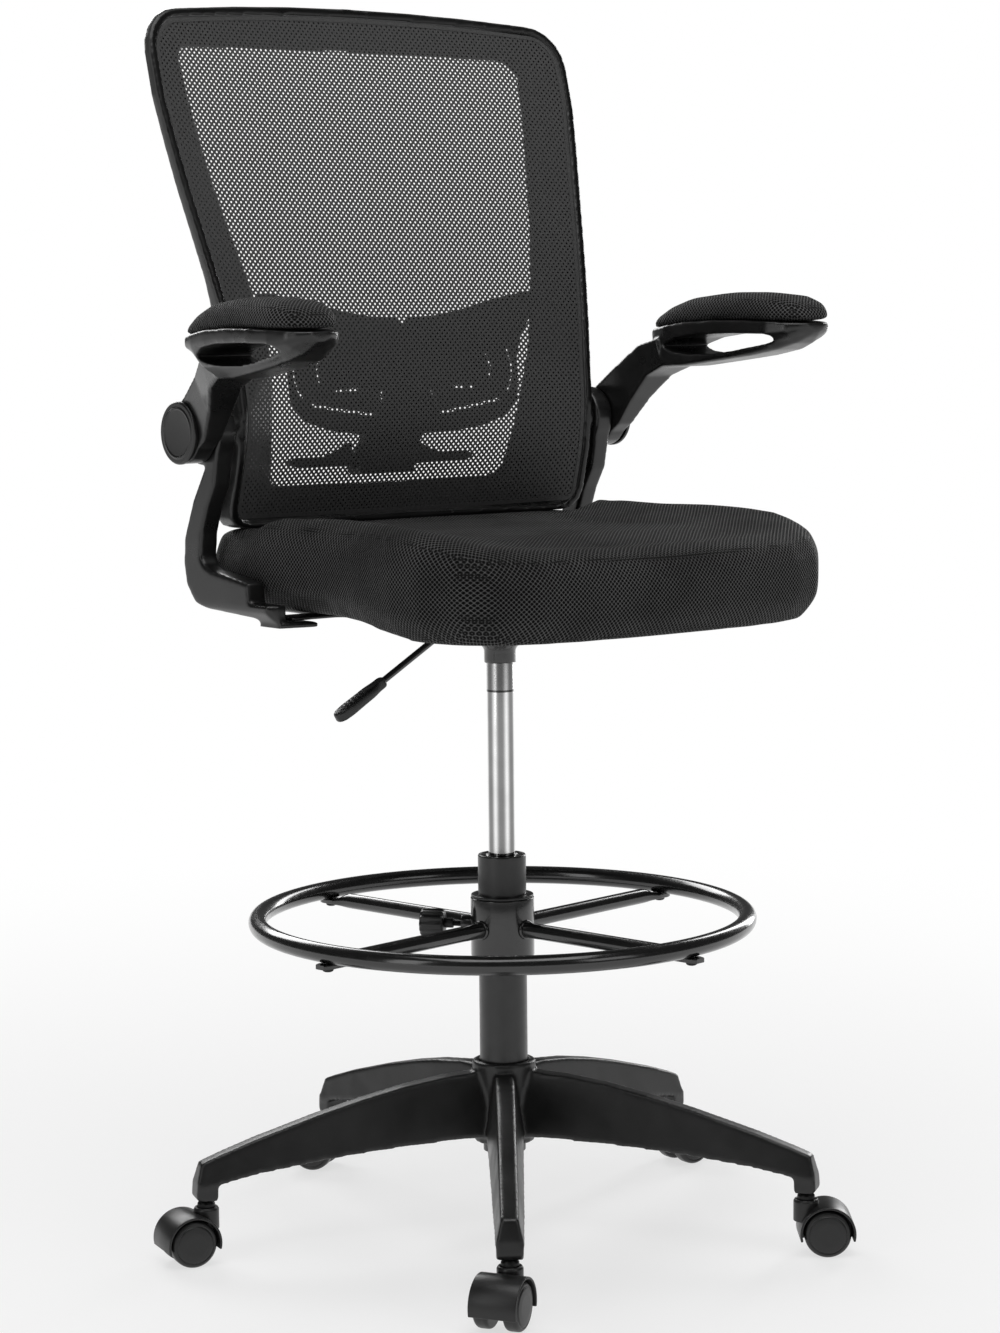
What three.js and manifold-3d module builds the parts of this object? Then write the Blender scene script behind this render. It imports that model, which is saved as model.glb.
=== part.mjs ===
// Drafting chair with a mesh back, flip-up arms, a gas lift, a foot ring and five twin-wheel casters.
// Millimetres. +Z is up, the sitter faces -Y, and the sitter's left hand is on +X.

import * as THREE from 'three';
import { mergeVertices } from 'three/addons/utils/BufferGeometryUtils.js';
import Module from 'manifold-3d';

const wasm = await Module();
wasm.setup();

const DEG = Math.PI / 180;

// ---------------------------------------------------------------- driving dimensions

// Where the column stands, measured from the middle of the chair's outline.
const COLUMN_X = -0.5;
const COLUMN_Y = -30.5;
// Heights above the casters are counted from a level this far under the floor.
const DATUM_DROP = 6.5;

// Sides of the polygons that stand for round pieces
const ROUND = 20;
const FINE = 14;
const SMALL = 10;

// Castors
const WHEEL_SIDES = 16;
const WHEEL_RADIUS = 24.5;
const AXLE_HEIGHT = WHEEL_RADIUS * Math.cos(Math.PI / WHEEL_SIDES);
const CASTER_TRAIL = 20.5;
const HOOD_RADIUS = 28.6;
const HOOD_WALL = 2.5;
const HOOD_WIDTH = 49;
const WHEEL_INNER = 8.2;
const WHEEL_OUTER = 24.2;
const AXLE_RADIUS = 4;
const STEM_RADIUS = 5.5;
const SOCKET_BORE = 5.9;
const SOCKET_BOTTOM = 70;
const CASTER_CIRCLE = 321.5;
// Where each caster trails, as a turn from straight ahead (-Y) towards +X.
const CASTER_TURNS = [-60, 52, 89, 214, -103];

// Star base
const LEG_COUNT = 5;
const FIRST_LEG_TURN = -37.5;
const HUB_TOP = 190;
const HUB_BOTTOM = 103;

// Column and gas spring
const COLUMN_RADIUS = 25;
const COLUMN_WALL = 2.5;
const COLUMN_TOP = 406;
const COLUMN_FOOT = 93;
const COLUMN_FOOT_RADIUS = 22.1;
const CYLINDER_RADIUS = 14;
const CYLINDER_BOTTOM = 326;
const CYLINDER_TOP = 646;
const ROD_RADIUS = 5;
const BUTTON_TOP = 651;

// Foot ring
const RING_RADIUS = 254;
const RING_TUBE = 9.6;
const RING_HEIGHT = 339.5;
const COLLAR_RADIUS = 33;
const COLLAR_BOTTOM = 300;
const COLLAR_TOP = 361;
const SPOKE_RADIUS = 8;
const SPOKE_HEIGHT = 330;
const FIRST_SPOKE_TURN = 9.1;
const SPOKE_COUNT = 4;
const CLAMP_TURN = -138;
const CLAMP_HEIGHT = 332;

// Seat
const SEAT_BOTTOM = 674;
const PAN_BOTTOM = 661;
const PAN_INSET = 62;
const MECHANISM_TOP = 660.6;

// Back
const BACK_TOP = 1287;
const BACK_BOTTOM = 747;
const LIP_WIDTH = 10;
const MESH_THICKNESS = 3;

// Arms
const PIVOT_Y = 157;
const PIVOT_Z = 847;
const HUB_RADIUS = 31.5;
const ARM_INNER = 259.4;
const ARM_OUTER = 282.2;
const CAP_FACE = 288;
const BRACKET_INNER = 236.5;
const BRACKET_OUTER = 259;
const PIVOT_BOLT = 6;

// ---------------------------------------------------------------- materials

function plastic(color, roughness) {
  return new THREE.MeshStandardMaterial({ color, roughness, metalness: 0 });
}

function metal(color, roughness) {
  return new THREE.MeshStandardMaterial({ color, roughness, metalness: 1 });
}

const nylon = plastic(0x242425, 0.45);
const satinPlastic = plastic(0x1d1d1e, 0.5);
const wheelPlastic = plastic(0x2a2a2b, 0.5);
const paintedSteel = plastic(0x141414, 0.25);
const columnPaint = plastic(0x2b2b2b, 0.4);
const knobPlastic = plastic(0x1a1a1a, 0.65);
const chrome = metal(0xc8c8ca, 0.15);
const steel = metal(0x8a8a8c, 0.35);
const seatFabric = plastic(0x1a1a1a, 0.9);
const meshFabric = plastic(0x161616, 0.9);

// ---------------------------------------------------------------- shape tools

/** Positions only, shared vertices merged, empty triangles dropped and faces turned outwards. */
function closed(geometry) {
  const plain = geometry.index ? geometry.toNonIndexed() : geometry.clone();
  for (const name of Object.keys(plain.attributes)) {
    if (name !== 'position') plain.deleteAttribute(name);
  }
  const merged = mergeVertices(plain, 1e-3);
  const source = merged.index.array;
  const kept = [];
  for (let i = 0; i < source.length; i += 3) {
    const [a, b, c] = [source[i], source[i + 1], source[i + 2]];
    if (a !== b && b !== c && c !== a) kept.push(a, b, c);
  }
  merged.setIndex(kept);
  if (signedVolume(merged) < 0) {
    for (let i = 0; i < kept.length; i += 3) {
      [kept[i], kept[i + 1]] = [kept[i + 1], kept[i]];
    }
    merged.setIndex(kept);
  }
  return merged;
}

function signedVolume(geometry) {
  const position = geometry.attributes.position;
  const index = geometry.index.array;
  const [a, b, c] = [new THREE.Vector3(), new THREE.Vector3(), new THREE.Vector3()];
  let sum = 0;
  for (let i = 0; i < index.length; i += 3) {
    a.fromBufferAttribute(position, index[i]);
    b.fromBufferAttribute(position, index[i + 1]);
    c.fromBufferAttribute(position, index[i + 2]);
    sum += a.dot(b.cross(c));
  }
  return sum / 6;
}

function toManifold(geometry) {
  const shape = closed(geometry);
  return new wasm.Manifold(new wasm.Mesh({
    numProp: 3,
    vertProperties: new Float32Array(shape.attributes.position.array),
    triVerts: new Uint32Array(shape.index.array),
  }));
}

function fromManifold(manifold) {
  const mesh = manifold.getMesh();
  const geometry = new THREE.BufferGeometry();
  geometry.setAttribute('position', new THREE.BufferAttribute(mesh.vertProperties, 3));
  geometry.setIndex(new THREE.BufferAttribute(mesh.triVerts, 1));
  return geometry;
}

/** Joins the geometries in `parts` and cuts those in `cuts` away. */
function build(parts, cuts = []) {
  let shape = toManifold(parts[0]);
  for (const part of parts.slice(1)) shape = shape.add(toManifold(part));
  for (const cut of cuts) shape = shape.subtract(toManifold(cut));
  return fromManifold(shape);
}

/** Turns a profile of [radius, height] pairs about the Z axis. A profile off the axis is closed up. */
function turned(profile, segments) {
  const points = profile.map(([r, z]) => new THREE.Vector2(r, z));
  const first = points[0];
  const last = points[points.length - 1];
  if (first.x > 0 || last.x > 0) points.push(first.clone());
  return closed(new THREE.LatheGeometry(points, segments).rotateX(Math.PI / 2));
}

/** A plain pipe between two heights. */
function pipe(outer, inner, low, high, segments) {
  return turned([[inner, low], [outer, low], [outer, high], [inner, high]], segments);
}

function cylinderZ(radius, low, high, segments) {
  const shape = new THREE.CylinderGeometry(radius, radius, high - low, segments);
  return shape.rotateX(Math.PI / 2).translate(0, 0, (low + high) / 2);
}

function cylinderX(radius, low, high, y, z, segments) {
  const shape = new THREE.CylinderGeometry(radius, radius, high - low, segments);
  return shape.rotateZ(Math.PI / 2).translate((low + high) / 2, y, z);
}

/** A box between two corners. */
function block(x0, y0, z0, x1, y1, z1) {
  const shape = new THREE.BoxGeometry(x1 - x0, y1 - y0, z1 - z0);
  return shape.translate((x0 + x1) / 2, (y0 + y1) / 2, (z0 + z1) / 2);
}

/** Pushes an outline of [y, z] points along X, from x0 to x1. */
function plateX(outline, x0, x1) {
  const shape = new THREE.Shape(outline.map(([y, z]) => new THREE.Vector2(y, z)));
  const solid = new THREE.ExtrudeGeometry(shape, { depth: x1 - x0, bevelEnabled: false });
  // (y, z, depth) becomes (x, y, z)
  const turn = new THREE.Matrix4().set(0, 0, 1, x0, 1, 0, 0, 0, 0, 1, 0, 0, 0, 0, 0, 1);
  return solid.applyMatrix4(turn);
}

/** Pushes an outline of [x, y] points up, from z0 to z1. */
function plateZ(outline, z0, z1) {
  const shape = new THREE.Shape(outline.map(([x, y]) => new THREE.Vector2(x, y)));
  const solid = new THREE.ExtrudeGeometry(shape, { depth: z1 - z0, bevelEnabled: false });
  return solid.translate(0, 0, z0);
}

/** Skins a row of equal rings of [x, y, z] points, and closes both ends with a fan. */
function loft(rings) {
  const count = rings[0].length;
  const positions = rings.flat(2);
  const index = [];
  for (let r = 0; r + 1 < rings.length; r += 1) {
    for (let i = 0; i < count; i += 1) {
      const j = (i + 1) % count;
      const [a, b, c, d] = [r * count + i, r * count + j, (r + 1) * count + j, (r + 1) * count + i];
      index.push(a, b, c, a, c, d);
    }
  }
  for (const [ring, flip] of [[0, true], [rings.length - 1, false]]) {
    const centre = positions.length / 3;
    const middle = [0, 1, 2].map((k) => rings[ring].reduce((sum, p) => sum + p[k], 0) / count);
    positions.push(...middle);
    for (let i = 0; i < count; i += 1) {
      const a = ring * count + i;
      const b = ring * count + ((i + 1) % count);
      index.push(centre, flip ? b : a, flip ? a : b);
    }
  }
  return indexed(positions, index);
}

/** Skins a closed row of equal rings, the last ring joined back to the first. */
function loopLoft(rings) {
  const count = rings[0].length;
  const index = [];
  for (let r = 0; r < rings.length; r += 1) {
    const next = (r + 1) % rings.length;
    for (let i = 0; i < count; i += 1) {
      const j = (i + 1) % count;
      const [a, b, c, d] = [r * count + i, r * count + j, next * count + j, next * count + i];
      index.push(a, b, c, a, c, d);
    }
  }
  return indexed(rings.flat(2), index);
}

function indexed(positions, index) {
  const geometry = new THREE.BufferGeometry();
  geometry.setAttribute('position', new THREE.Float32BufferAttribute(positions, 3));
  geometry.setIndex(index);
  return closed(geometry);
}

/** The same shape on the other side of the YZ plane. */
function mirrored(geometry) {
  return closed(geometry.clone().scale(-1, 1, 1));
}

/** Straight-line interpolation in a table of [key, value] pairs with rising keys. */
function lookup(table, key) {
  if (key <= table[0][0]) return table[0][1];
  for (let i = 1; i < table.length; i += 1) {
    const [k0, v0] = table[i - 1];
    const [k1, v1] = table[i];
    if (key <= k1) return v0 + ((v1 - v0) * (key - k0)) / (k1 - k0);
  }
  return table[table.length - 1][1];
}

/** A turn about Z that takes straight ahead (-Y) towards +X by `degrees`. */
function aimed(geometry, degrees) {
  return geometry.rotateZ(degrees * DEG);
}

/** Points on an arc in a plane, from one angle to another, in degrees. */
function arc(cx, cy, radius, from, to, steps) {
  const points = [];
  for (let i = 0; i <= steps; i += 1) {
    const angle = (from + ((to - from) * i) / steps) * DEG;
    points.push([cx + radius * Math.cos(angle), cy + radius * Math.sin(angle)]);
  }
  return points;
}

const chair = new THREE.Group();
chair.position.set(COLUMN_X, COLUMN_Y, -DATUM_DROP);

function add(name, geometry, material, parent = chair) {
  const mesh = new THREE.Mesh(geometry, material);
  mesh.name = name;
  parent.add(mesh);
}

// ---------------------------------------------------------------- star base

// Along a leg: distance from the axis, top, bottom, half-width on top, half-width below.
const LEG_STATIONS = [
  [20, 180, 111.5, 9.6, 20],
  [65, 177, 111, 9.5, 19.2],
  [110, 170.5, 109.5, 9.4, 18.5],
  [157, 160.5, 106.5, 9.2, 17.7],
  [204, 148.5, 102.5, 9, 17],
  [269, 129.5, 94.5, 8.8, 16],
  [309, 116, 87, 8.6, 15],
  [327.5, 109, 84, 8.4, 14.4],
  [333, 88, 84, 12, 13.6],
];
const LEG_SKIN = 4;
const CHANNEL_ENDS = [44, 301];

function legSection([out, top, bottom, halfTop, halfBottom]) {
  return [[-halfBottom, -out, bottom], [halfBottom, -out, bottom], [halfTop, -out, top], [-halfTop, -out, top]];
}

/** The hollow under a leg, as one tapering trough. */
function legChannel() {
  const rings = CHANNEL_ENDS.map((out) => {
    const at = (column) => lookup(LEG_STATIONS.map((row) => [row[0], row[column]]), out);
    return legSection([out, at(1) - 2.4 * LEG_SKIN, at(2) - 1, at(3) - LEG_SKIN + 1, at(4) - LEG_SKIN]);
  });
  return loft(rings);
}

/** The block at a leg's end that takes the caster's stem. */
function legSocket() {
  const low = SOCKET_BOTTOM;
  const outline = [[-311, low + 3], [-313, low], [-330, low], [-334, low + 4], [-332.5, 91], [-311, 92]];
  return plateX(outline, -13.2, 13.2);
}

function baseStar() {
  const hub = turned([
    [22.4, HUB_BOTTOM], [32, HUB_BOTTOM], [32, 107.5], [27.2, 110.5], [26.8, 128], [28.6, 158],
    [33.5, 184], [33.5, 188.5], [32, HUB_TOP], [25.3, HUB_TOP],
  ], ROUND);
  const parts = [hub];
  const cuts = [];
  for (let i = 0; i < LEG_COUNT; i += 1) {
    const turn = FIRST_LEG_TURN + (360 / LEG_COUNT) * i;
    parts.push(aimed(loft(LEG_STATIONS.map(legSection)), turn));
    parts.push(aimed(legSocket(), turn));
    cuts.push(aimed(legChannel(), turn));
    cuts.push(aimed(cylinderZ(SOCKET_BORE, SOCKET_BOTTOM - 1, 103, SMALL).translate(0, -CASTER_CIRCLE, 0), turn));
  }
  cuts.push(turned([[0, 90], [22.4, 90], [22.4, HUB_BOTTOM], [25.3, HUB_TOP], [25.3, 200], [0, 200]], ROUND));
  return build(parts, cuts);
}

add('base_star', baseStar(), nylon);

// ---------------------------------------------------------------- casters

// A caster is built at the origin of its own group: stem on the Z axis, axle along X, trailing to -Y.
const NECK_RADIUS = 13;
const NECK_TOP = 56.5;
const FLANGE_TOP = SOCKET_BOTTOM - DATUM_DROP - 0.8;
const SEAL_RADIUS = 9;

function casterStem() {
  return turned([
    [0, 41], [STEM_RADIUS, 41], [STEM_RADIUS, 53], [SEAL_RADIUS, 53], [SEAL_RADIUS, 60], [7.4, FLANGE_TOP],
    [STEM_RADIUS, FLANGE_TOP], [STEM_RADIUS, 93], [0, 93],
  ], SMALL);
}

/** The hood's side view, or the room for a wheel under it, across the axle. */
function hoodOutline(radius, low) {
  const curve = arc(-CASTER_TRAIL, AXLE_HEIGHT, radius, -12, 192, 9);
  return [...curve, [curve[9][0], low], [curve[0][0], low]];
}

function casterHood() {
  const body = plateX(hoodOutline(HOOD_RADIUS, 17), -HOOD_WIDTH / 2, HOOD_WIDTH / 2);
  const neck = cylinderZ(NECK_RADIUS, 32, NECK_TOP, FINE);
  const wheelRoom = plateX(hoodOutline(HOOD_RADIUS - HOOD_WALL, 0), WHEEL_INNER - 0.4, HOOD_WIDTH);
  const cuts = [
    wheelRoom,
    mirrored(wheelRoom),
    cylinderZ(STEM_RADIUS + 0.3, 40.6, 70, SMALL),
    cylinderZ(SEAL_RADIUS + 0.4, 52.7, 70, SMALL),
    cylinderX(AXLE_RADIUS + 0.2, -20, 20, -CASTER_TRAIL, AXLE_HEIGHT, SMALL),
  ];
  return build([body, neck], cuts);
}

function casterWheel() {
  const bore = AXLE_RADIUS + 0.15;
  const profile = [
    [0, WHEEL_OUTER], [18.5, WHEEL_OUTER - 0.8], [WHEEL_RADIUS, 20.5], [WHEEL_RADIUS, 10.5], [22, WHEEL_INNER],
    [bore, WHEEL_INNER], [bore, 19.8], [0, 19.8],
  ];
  // a flat of the tread lies on the floor, and the axle runs along X
  const facet = Math.PI / WHEEL_SIDES;
  return turned(profile, WHEEL_SIDES).rotateZ(facet).rotateY(Math.PI / 2);
}

function addCaster(number, legTurn, trailTurn) {
  const caster = new THREE.Group();
  const turn = legTurn * DEG;
  caster.position.set(CASTER_CIRCLE * Math.sin(turn), -CASTER_CIRCLE * Math.cos(turn), DATUM_DROP);
  caster.rotation.z = trailTurn * DEG;
  chair.add(caster);
  add(`caster_stem_${number}`, casterStem(), steel, caster);
  add(`caster_hood_${number}`, casterHood(), wheelPlastic, caster);
  const axle = cylinderX(AXLE_RADIUS, -19.4, 19.4, -CASTER_TRAIL, AXLE_HEIGHT, SMALL);
  add(`caster_axle_${number}`, closed(axle), steel, caster);
  const wheel = casterWheel().translate(0, -CASTER_TRAIL, AXLE_HEIGHT);
  add(`wheel_${number}_left`, wheel, wheelPlastic, caster);
  add(`wheel_${number}_right`, mirrored(wheel), wheelPlastic, caster);
}

CASTER_TURNS.forEach((trail, i) => {
  addCaster(i + 1, FIRST_LEG_TURN + (360 / LEG_COUNT) * i, trail);
});

// ---------------------------------------------------------------- column and gas spring

const GLAND = ROD_RADIUS + 0.25;

function columnTube() {
  const foot = COLUMN_FOOT_RADIUS;
  const inner = COLUMN_RADIUS - COLUMN_WALL;
  return turned([
    [GLAND, COLUMN_FOOT], [foot, COLUMN_FOOT], [foot, HUB_BOTTOM], [COLUMN_RADIUS, HUB_TOP],
    [COLUMN_RADIUS, COLUMN_TOP - 1], [COLUMN_RADIUS - 1, COLUMN_TOP], [inner, COLUMN_TOP], [inner, HUB_TOP],
    [foot - COLUMN_WALL, COLUMN_FOOT + 4], [GLAND, COLUMN_FOOT + 4],
  ], ROUND);
}

function guideBush() {
  const outer = COLUMN_RADIUS - COLUMN_WALL - 0.1;
  const inner = CYLINDER_RADIUS + 0.22;
  return turned([
    [inner, 372], [outer, 372], [outer, COLUMN_TOP - 1], [inner + 3, COLUMN_TOP - 1], [inner, COLUMN_TOP - 4],
  ], ROUND);
}

/** The pressure tube, hollow for the piston and open at its gland, with a blind hole for the valve button. */
function gasCylinder() {
  return turned([
    [GLAND, CYLINDER_BOTTOM], [CYLINDER_RADIUS, CYLINDER_BOTTOM], [CYLINDER_RADIUS, CYLINDER_TOP],
    [4.3, CYLINDER_TOP], [4.3, 631], [0, 631], [0, 626], [11.6, 626], [11.6, CYLINDER_BOTTOM + 8],
    [GLAND, CYLINDER_BOTTOM + 8],
  ], ROUND);
}

function pistonRod() {
  return turned([
    [0, 90], [ROD_RADIUS, 90], [ROD_RADIUS, 101.6], [9, 101.6], [9, 104.6], [ROD_RADIUS, 104.6], [ROD_RADIUS, 336],
    [11.1, 336], [11.1, 346], [0, 346],
  ], FINE);
}

add('column_tube', columnTube(), columnPaint);
add('column_guide_bush', guideBush(), satinPlastic);
add('gas_cylinder', gasCylinder(), chrome);
add('piston_rod', pistonRod(), steel);
add('thrust_bearing', pipe(10.5, GLAND, COLUMN_FOOT + 4.3, 101.3, FINE), steel);
add('valve_button', turned([[0, 636], [4, 636], [4, BUTTON_TOP], [0, BUTTON_TOP]], SMALL), steel);

// ---------------------------------------------------------------- foot ring

const TAB_TOP = RING_HEIGHT - RING_TUBE - 0.3;
const TAB_THICKNESS = 4.5;
const SCREW_RADIUS = 2.6;
const SCREW_TOP = RING_HEIGHT - 3;
const COLLAR_BORE = 28.8;

/** A hole for a ring screw, over the whole height of tab and screw. */
function screwHole(turn) {
  return aimed(cylinderZ(SCREW_RADIUS + 0.4, 310, SCREW_TOP + 0.5, SMALL).translate(0, -RING_RADIUS, 0), turn);
}

function spokeTurns() {
  return Array.from({ length: SPOKE_COUNT }, (_, i) => FIRST_SPOKE_TURN + (360 / SPOKE_COUNT) * i);
}

function footRing() {
  const ring = new THREE.TorusGeometry(RING_RADIUS, RING_TUBE, 8, 40).translate(0, 0, RING_HEIGHT);
  return build([ring], spokeTurns().map(screwHole));
}

/** Collar, four spoke tubes pressed flat at their ends, and the threaded boss for the clamp. */
function ringSpider() {
  const alongSpoke = (shape) => shape.rotateZ(Math.PI / 2);
  const parts = [
    pipe(COLLAR_RADIUS, COLLAR_BORE, COLLAR_BOTTOM, COLLAR_TOP, ROUND),
    aimed(alongSpoke(cylinderX(9, -43, -30, 0, CLAMP_HEIGHT, 6)), CLAMP_TURN),
  ];
  const cuts = [aimed(alongSpoke(cylinderX(3.3, -50, -20, 0, CLAMP_HEIGHT, SMALL)), CLAMP_TURN)];
  const low = TAB_TOP - TAB_THICKNESS;
  const middle = (TAB_TOP + low) / 2;
  const round = arc(0, SPOKE_HEIGHT, SPOKE_RADIUS, 45, 360, 7);
  const flat = [[9, TAB_TOP], [0, TAB_TOP], [-9, TAB_TOP], [-9, middle], [-9, low], [0, low], [9, low], [9, middle]];
  const ring = (section, out) => section.map(([x, z]) => [x, -out, z]);
  for (const turn of spokeTurns()) {
    parts.push(aimed(loft([ring(round, 30.5), ring(round, 226), ring(flat, 243), ring(flat, 266)]), turn));
    cuts.push(screwHole(turn));
  }
  cuts.push(cylinderZ(COLLAR_BORE, COLLAR_BOTTOM - 5, COLLAR_TOP + 5, ROUND));
  return build(parts, cuts);
}

function ringBush() {
  const inner = COLUMN_RADIUS + 0.25;
  return turned([
    [inner, COLLAR_BOTTOM + 1], [28.5, COLLAR_BOTTOM + 1], [28.5, COLLAR_TOP + 0.4], [32.4, COLLAR_TOP + 0.4],
    [32.4, COLLAR_TOP + 3.2], [inner, COLLAR_TOP + 3.2],
  ], ROUND);
}

/** The stud that presses on the bush, with its shoulder against the knob. */
function clampScrew() {
  const profile = [[0, 29.6], [2.9, 29.6], [2.9, 52], [5.2, 52], [5.2, 61], [2.9, 61], [2.9, 78], [0, 78]];
  return aimed(turned(profile, SMALL).rotateX(Math.PI / 2).translate(0, 0, CLAMP_HEIGHT), CLAMP_TURN);
}

function clampKnob() {
  const ribs = 12;
  const outline = [];
  for (let i = 0; i < ribs * 2; i += 1) {
    const radius = i % 2 ? 14.9 : 13.4;
    const angle = (i * Math.PI) / ribs;
    outline.push([radius * Math.cos(angle), radius * Math.sin(angle)]);
  }
  const knob = build([plateZ(outline, 61.3, 86.5)], [cylinderZ(3.3, 50, 78.4, SMALL)]);
  return aimed(knob.rotateX(Math.PI / 2).translate(0, 0, CLAMP_HEIGHT), CLAMP_TURN);
}

/** A flat-headed screw from below, through a spoke's tab into the ring. */
function ringScrew() {
  const low = TAB_TOP - TAB_THICKNESS - 0.15;
  const profile = [[0, low - 3.2], [5.8, low - 3.2], [5.8, low], [SCREW_RADIUS, low], [SCREW_RADIUS, SCREW_TOP],
    [0, SCREW_TOP]];
  return turned(profile, 8).translate(0, -RING_RADIUS, 0);
}

add('foot_ring', footRing(), paintedSteel);
add('foot_ring_spider', ringSpider(), paintedSteel);
add('foot_ring_bush', ringBush(), satinPlastic);
add('clamp_screw', clampScrew(), steel);
add('clamp_knob', clampKnob(), knobPlastic);
spokeTurns().forEach((turn, i) => add(`ring_screw_${i + 1}`, aimed(ringScrew(), turn), steel));

// ---------------------------------------------------------------- seat

// Right half of the seat's plan, from the middle of the front to the middle of the back.
const SEAT_PLAN = [
  [0, -291], [60, -290], [115, -286], [165, -277], [207, -259], [234, -229], [248, -190], [250.5, -150],
  [243, -105], [235, -55], [231, -5], [231, 50], [232, 105], [231, 150], [226, 182], [213, 206], [184, 219],
  [120, 223], [60, 224], [0, 224],
];

/** The whole plan as one closed row of points. */
function seatOutline() {
  const left = SEAT_PLAN.slice(1, -1).reverse().map(([x, y]) => [-x, y]);
  return [...SEAT_PLAN, ...left];
}

/** The plan drawn in by `inset`, towards the seat's middle. */
function insetPlan(outline, inset) {
  const middleY = -33;
  return outline.map(([x, y]) => {
    const length = Math.hypot(x, y - middleY);
    const k = (length - inset) / length;
    return [x * k, middleY + (y - middleY) * k];
  });
}

// Height of the cushion's upper edge and of its lower edge, from front to back.
const SEAT_CREST = [[-290, 738], [-262, 744], [-225, 753], [-180, 761], [-120, 763.5], [95, 763], [125, 752],
  [150, 743.5], [224, 741]];
const SEAT_HEM = [[-290, 656], [-200, 657], [-165, 659], [-120, 663], [-60, 666], [224, 666]];

function seatCushion() {
  const outline = seatOutline();
  const ring = (inset, height) => {
    const plan = insetPlan(outline, inset);
    return plan.map(([x, y], i) => [x, y, height(outline[i][1], x, y)]);
  };
  const crest = (y) => lookup(SEAT_CREST, y);
  const hem = (y) => lookup(SEAT_HEM, y);
  return loft([
    ring(PAN_INSET - 2, () => SEAT_BOTTOM),
    ring(PAN_INSET - 5, (y) => Math.max(hem(y), 666)),
    ring(22, (y) => hem(y)),
    ring(0, (y) => hem(y) + 26),
    ring(0, (y) => crest(y) - 28),
    ring(9, (y) => crest(y) - 8),
    ring(30, (y) => crest(y)),
    ring(75, (y) => Math.min(crest(y) - 3, 752)),
    ring(140, () => 743),
  ]);
}

/** The board under the foam, with a steel ear on each side for the arm's bracket. */
function seatPan() {
  const board = insetPlan(seatOutline(), PAN_INSET).map(([x, y]) => [x, Math.max(y, -170)]);
  const plan = board.filter(([x, y], i) => y > -170 || board[(i + 1) % board.length][1] > -170
    || board[(i + board.length - 1) % board.length][1] > -170);
  const ear = block(140, 38, PAN_BOTTOM, 232, 72, 665.2);
  return build([plateZ(plan, PAN_BOTTOM, SEAT_BOTTOM - 0.4), ear, mirrored(ear)]);
}

// The release lever turns on a pin along Y, inside the housing.
const LEVER_PIVOT_X = -45;
const LEVER_PIVOT_Z = 652.8;

/** Mounting plate, pressed housing open towards the lever, and the socket for the gas spring. */
function seatMechanism() {
  const plateLow = MECHANISM_TOP - 3;
  const parts = [
    block(-95, -82, plateLow, 95, 74, MECHANISM_TOP),
    block(-58, -46, 633, 58, 46, plateLow + 0.5),
    turned([[0, 605], [16.5, 605], [16.5, 620], [21.5, 626], [21.5, 643], [0, 643]], ROUND),
  ];
  const pin = new THREE.CylinderGeometry(3.4, 3.4, 110, SMALL).translate(LEVER_PIVOT_X, 0, LEVER_PIVOT_Z);
  const room = build([block(-60, -43, 636, 55, 43, plateLow)], [cylinderZ(21.5, 600, 643, ROUND)]);
  return build(parts, [room, cylinderZ(CYLINDER_RADIUS + 0.25, 600, 650, ROUND), pin]);
}

/** Rocker over the valve button, pivot pin and bent rod, all one piece. */
function leverRod() {
  const points = [[-48, 0, 652.8], [-70, -16, 651.5], [-90, -27, 647], [-106, -30, 640], [-182, -30, 596.5]];
  const path = new THREE.CurvePath();
  for (let i = 0; i + 1 < points.length; i += 1) {
    path.add(new THREE.LineCurve3(new THREE.Vector3(...points[i]), new THREE.Vector3(...points[i + 1])));
  }
  const section = new THREE.Shape(arc(0, 0, 3.3, 0, 315, 7).map(([x, y]) => new THREE.Vector2(x, y)));
  const rod = new THREE.ExtrudeGeometry(section, { steps: 12, extrudePath: path, bevelEnabled: false });
  const rocker = block(-51, -6.5, 651.4, 3, 6.5, 654.4);
  const pin = new THREE.CylinderGeometry(3, 3, 91, SMALL).translate(LEVER_PIVOT_X, 0, LEVER_PIVOT_Z);
  return build([rocker, pin, rod]);
}

/** Flat paddle pushed over the end of the rod, its long way along -X before it is tilted. */
function leverPaddle() {
  const outline = [[0, -4.5], [-9, -5], [-16, -7], [-24, -8.4], [-52, -8.6], [-62, -7], [-67, -3], [-67, 3],
    [-62, 7], [-52, 8.6], [-24, 8.4], [-16, 7], [-9, 5], [0, 4.5]];
  const bore = cylinderX(3.7, -13, 4, 0, 0, SMALL);
  const paddle = build([plateZ(outline, -5, 4.5)], [bore]);
  return paddle.rotateY(-29.8 * DEG).translate(-171, -30, 602.8);
}

add('seat_cushion', seatCushion(), seatFabric);
add('seat_pan', seatPan(), satinPlastic);
add('seat_mechanism', seatMechanism(), paintedSteel);
add('lever_rod', leverRod(), paintedSteel);
add('lever_paddle', leverPaddle(), knobPlastic);

// ---------------------------------------------------------------- side brackets

// Rear edge from the pivot down and round to the front of the foot, then the front edge back up.
const BRACKET_REAR = [[160, 832], [152, 812], [175, 777], [192, 739], [194.5, 712], [190, 690], [175, 673],
  [157, 667.5], [74, 662], [44, 662.5]];
const BRACKET_FRONT = [[44, 678], [76, 678], [78, 698], [143, 707], [157, 712], [163, 720], [160, 745], [150, 770],
  [136, 793], [128, 832]];

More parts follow.
